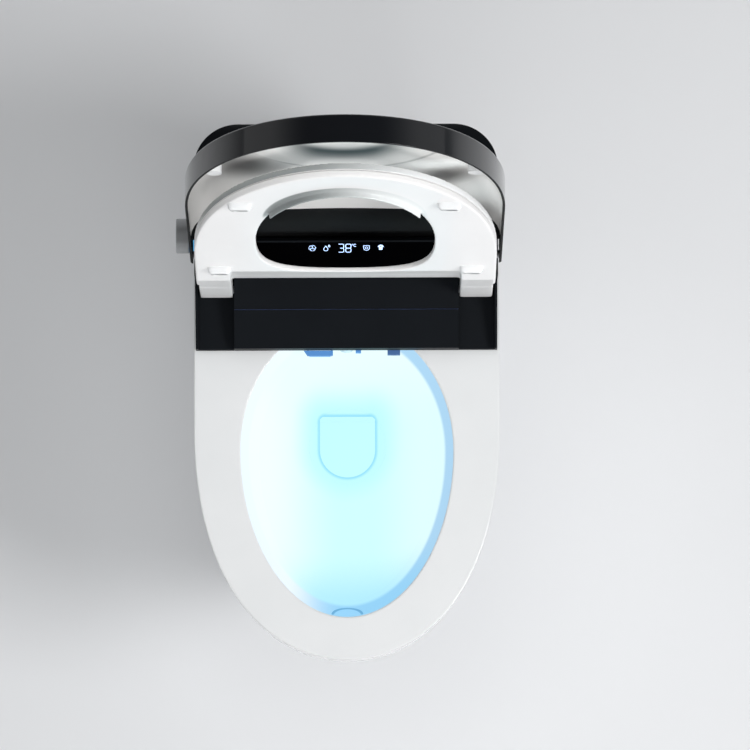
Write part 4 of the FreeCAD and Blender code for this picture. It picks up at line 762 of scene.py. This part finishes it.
def figureStrokes(settings):
    # a three of two open rounds, an eight of two closed ones, then a small ring and a C for degrees
    low, high, corner, stroke = [settings[key] for key in ("low", "high", "corner", "stroke")]
    middle = (low + high) / 2
    left = settings["left"]
    right = left + settings["width"]
    tip, waist = left + settings["tipIn"], [(left + settings["waistIn"], middle)]

    def rounded(x, y, start):
        return arc((x, y), corner, start, start + 90, 6)

    top = np.vstack([[(tip, high)], rounded(right - corner, high - corner, 0)[::-1],
                     rounded(right - corner, middle + corner, 270)[::-1], waist])
    under = np.vstack([waist, rounded(right - corner, middle - corner, 0)[::-1],
                       rounded(right - corner, low + corner, 270)[::-1], [(tip, low)]])
    strokes = [(top, stroke, False), (under, stroke, False)]
    left += settings["step"]
    right += settings["step"]
    for lower, upper in ((low, middle), (middle, high)):
        loop = np.vstack([rounded(right - corner, upper - corner, 0), rounded(left + corner, upper - corner, 90),
                          rounded(left + corner, lower + corner, 180), rounded(right - corner, lower + corner, 270)])
        strokes.append((loop, stroke, True))
    unit = right + settings["unitGap"]
    ring = arc((unit, high - settings["ringDrop"]), settings["ringR"], 0, 330, 9)
    letter = arc((unit + settings["letterGap"], high - settings["letterDrop"]), settings["letterR"], 50, 310, 12)
    return strokes + [(ring, settings["ringStroke"], True), (letter, settings["letterStroke"], False)]


icons = dict(level=0.0412, size=0.0042, stroke=0.00075, thin=0.0006, spots=(-0.0424, -0.0248, 0.0258, 0.0434))


def iconStrokes(settings):
    # a fan of three curved blades, a drop beside a small one, a seat seen from above, and a filled moon, each drawn
    # round its own centre with the icon's size as one
    size, stroke, thin = settings["size"], settings["stroke"], settings["thin"]
    fan, drop, seatMark, moon = [(x, settings["level"]) for x in settings["spots"]]

    def at(spot, x, y):
        return spot[0] + x * size, spot[1] + y * size

    strokes = []
    for lean in (20, 140, 260):
        hub = at(fan, 0.52 * math.cos(math.radians(lean)), 0.52 * math.sin(math.radians(lean)))
        strokes.append((arc(hub, 0.5 * size, lean - 170, lean + 20), stroke, False))
        strokes.append((arc(fan, 1.02 * size, lean + 20, lean + 75, 8), thin, False))
    for x, y, grow in ((-0.15, -0.2, 1.0), (0.85, 0.75, 0.42)):
        spot = at(drop, x, y)
        belly = arc(at(spot, 0, -0.2 * grow), 0.64 * size * grow, -225, 45)
        strokes.append((np.vstack([belly, [at(spot, 0, 0.98 * grow)]]), stroke, True))
    seatLine = np.vstack([arc(at(seatMark, 0, -0.05), 0.85 * size, 180, 360),
                          [at(seatMark, 0.85, 0.85), at(seatMark, -0.85, 0.85)]])
    strokes.append((seatLine, stroke, True))
    strokes.append((arc(at(seatMark, 0, 0.02), 0.36 * size, 0, 330, 10), thin, True))
    strokes.append(([at(moon, -0.45, -0.15), at(moon, 0.6, -0.15)], 1.1 * size, False))
    strokes.append((arc(at(moon, 0.1, 0.3), 0.62 * size, 0, 180), 0.5 * size, False))
    return strokes


displayGlow = makeGlow("displayGlow", display)
buildMarks("displayFigures", figureStrokes(figures), display, displayGlow)
buildMarks("displayIcons", iconStrokes(icons), display, displayGlow)
print("stage: display marks")

# Floor and light
floor = dict(half=14.0, dark=srgb(226, 227, 229), light=srgb(231, 232, 234), rough=(0.5, 0.6), edge=0.0, depth=0.02,
             cloud=0.8, grain=60.0)


def addFloor(settings):
    half = settings["half"]
    mesh = bpy.data.meshes.new("floor")
    mesh.from_pydata([(-half, -half, 0), (half, -half, 0), (half, half, 0), (-half, half, 0)], [], [(0, 1, 2, 3)])
    mesh.materials.append(makeFinish("floorFinish", settings))
    plane = bpy.data.objects.new("floor", mesh)
    scene.collection.objects.link(plane)


lamps = [
    dict(name="key", at=(3.2, -1.2, 3.6), aim=(0, 0, 0.4), size=1.6, power=126.0, colour=(1.0, 1.0, 1.0),
         mirrored=True),
    dict(name="top", at=(-0.6, -0.4, 6.0), aim=(0, 0, 0.4), size=4.0, power=108.0, colour=(0.99, 1.0, 1.0),
         mirrored=False),
    dict(name="front", at=(0.4, -4.2, 1.9), aim=(0, 0, 0.6), size=2.0, power=66.0, colour=(1.0, 1.0, 1.0),
         mirrored=False)]


def addLamp(settings):
    data = bpy.data.lights.new(settings["name"], "AREA")
    data.energy, data.size, data.color = settings["power"], settings["size"], settings["colour"]
    lamp = bpy.data.objects.new(settings["name"], data)
    lamp.visible_camera, lamp.visible_glossy = False, settings["mirrored"]
    standAt(lamp, settings)


world = dict(sky=srgb(240, 241, 242), wall=0.5, ceiling=0.06, turn=(0.3, 0.8), back=srgb(232, 234, 236))


def addWorld(settings):
    # bright walls under a dark ceiling; the camera sees the plain backdrop colour
    shell = bpy.data.worlds.new("studio")
    scene.world = shell
    shell.use_nodes = True
    tree = shell.node_tree
    light = tree.nodes["Background"]
    light.inputs["Color"].default_value = settings["sky"]
    way = partsOf(tree, addNode(tree, "ShaderNodeTexCoord").outputs["Generated"])
    upward = softStep(tree, way["Z"], settings["turn"])
    dim = product(tree, upward, settings["ceiling"] - settings["wall"])
    tree.links.new(addMath(tree, "ADD", dim, settings["wall"]), light.inputs["Strength"])
    back = addNode(tree, "ShaderNodeBackground", {"Color": settings["back"], "Strength": 1.0})
    path = addNode(tree, "ShaderNodeLightPath")
    mix = addNode(tree, "ShaderNodeMixShader")
    tree.links.new(path.outputs["Is Camera Ray"], mix.inputs[0])
    tree.links.new(light.outputs[0], mix.inputs[1])
    tree.links.new(back.outputs[0], mix.inputs[2])
    tree.links.new(mix.outputs[0], tree.nodes["World Output"].inputs["Surface"])


addFloor(floor)
for lamp in lamps:
    addLamp(lamp)
addWorld(world)
print("stage: floor and light")
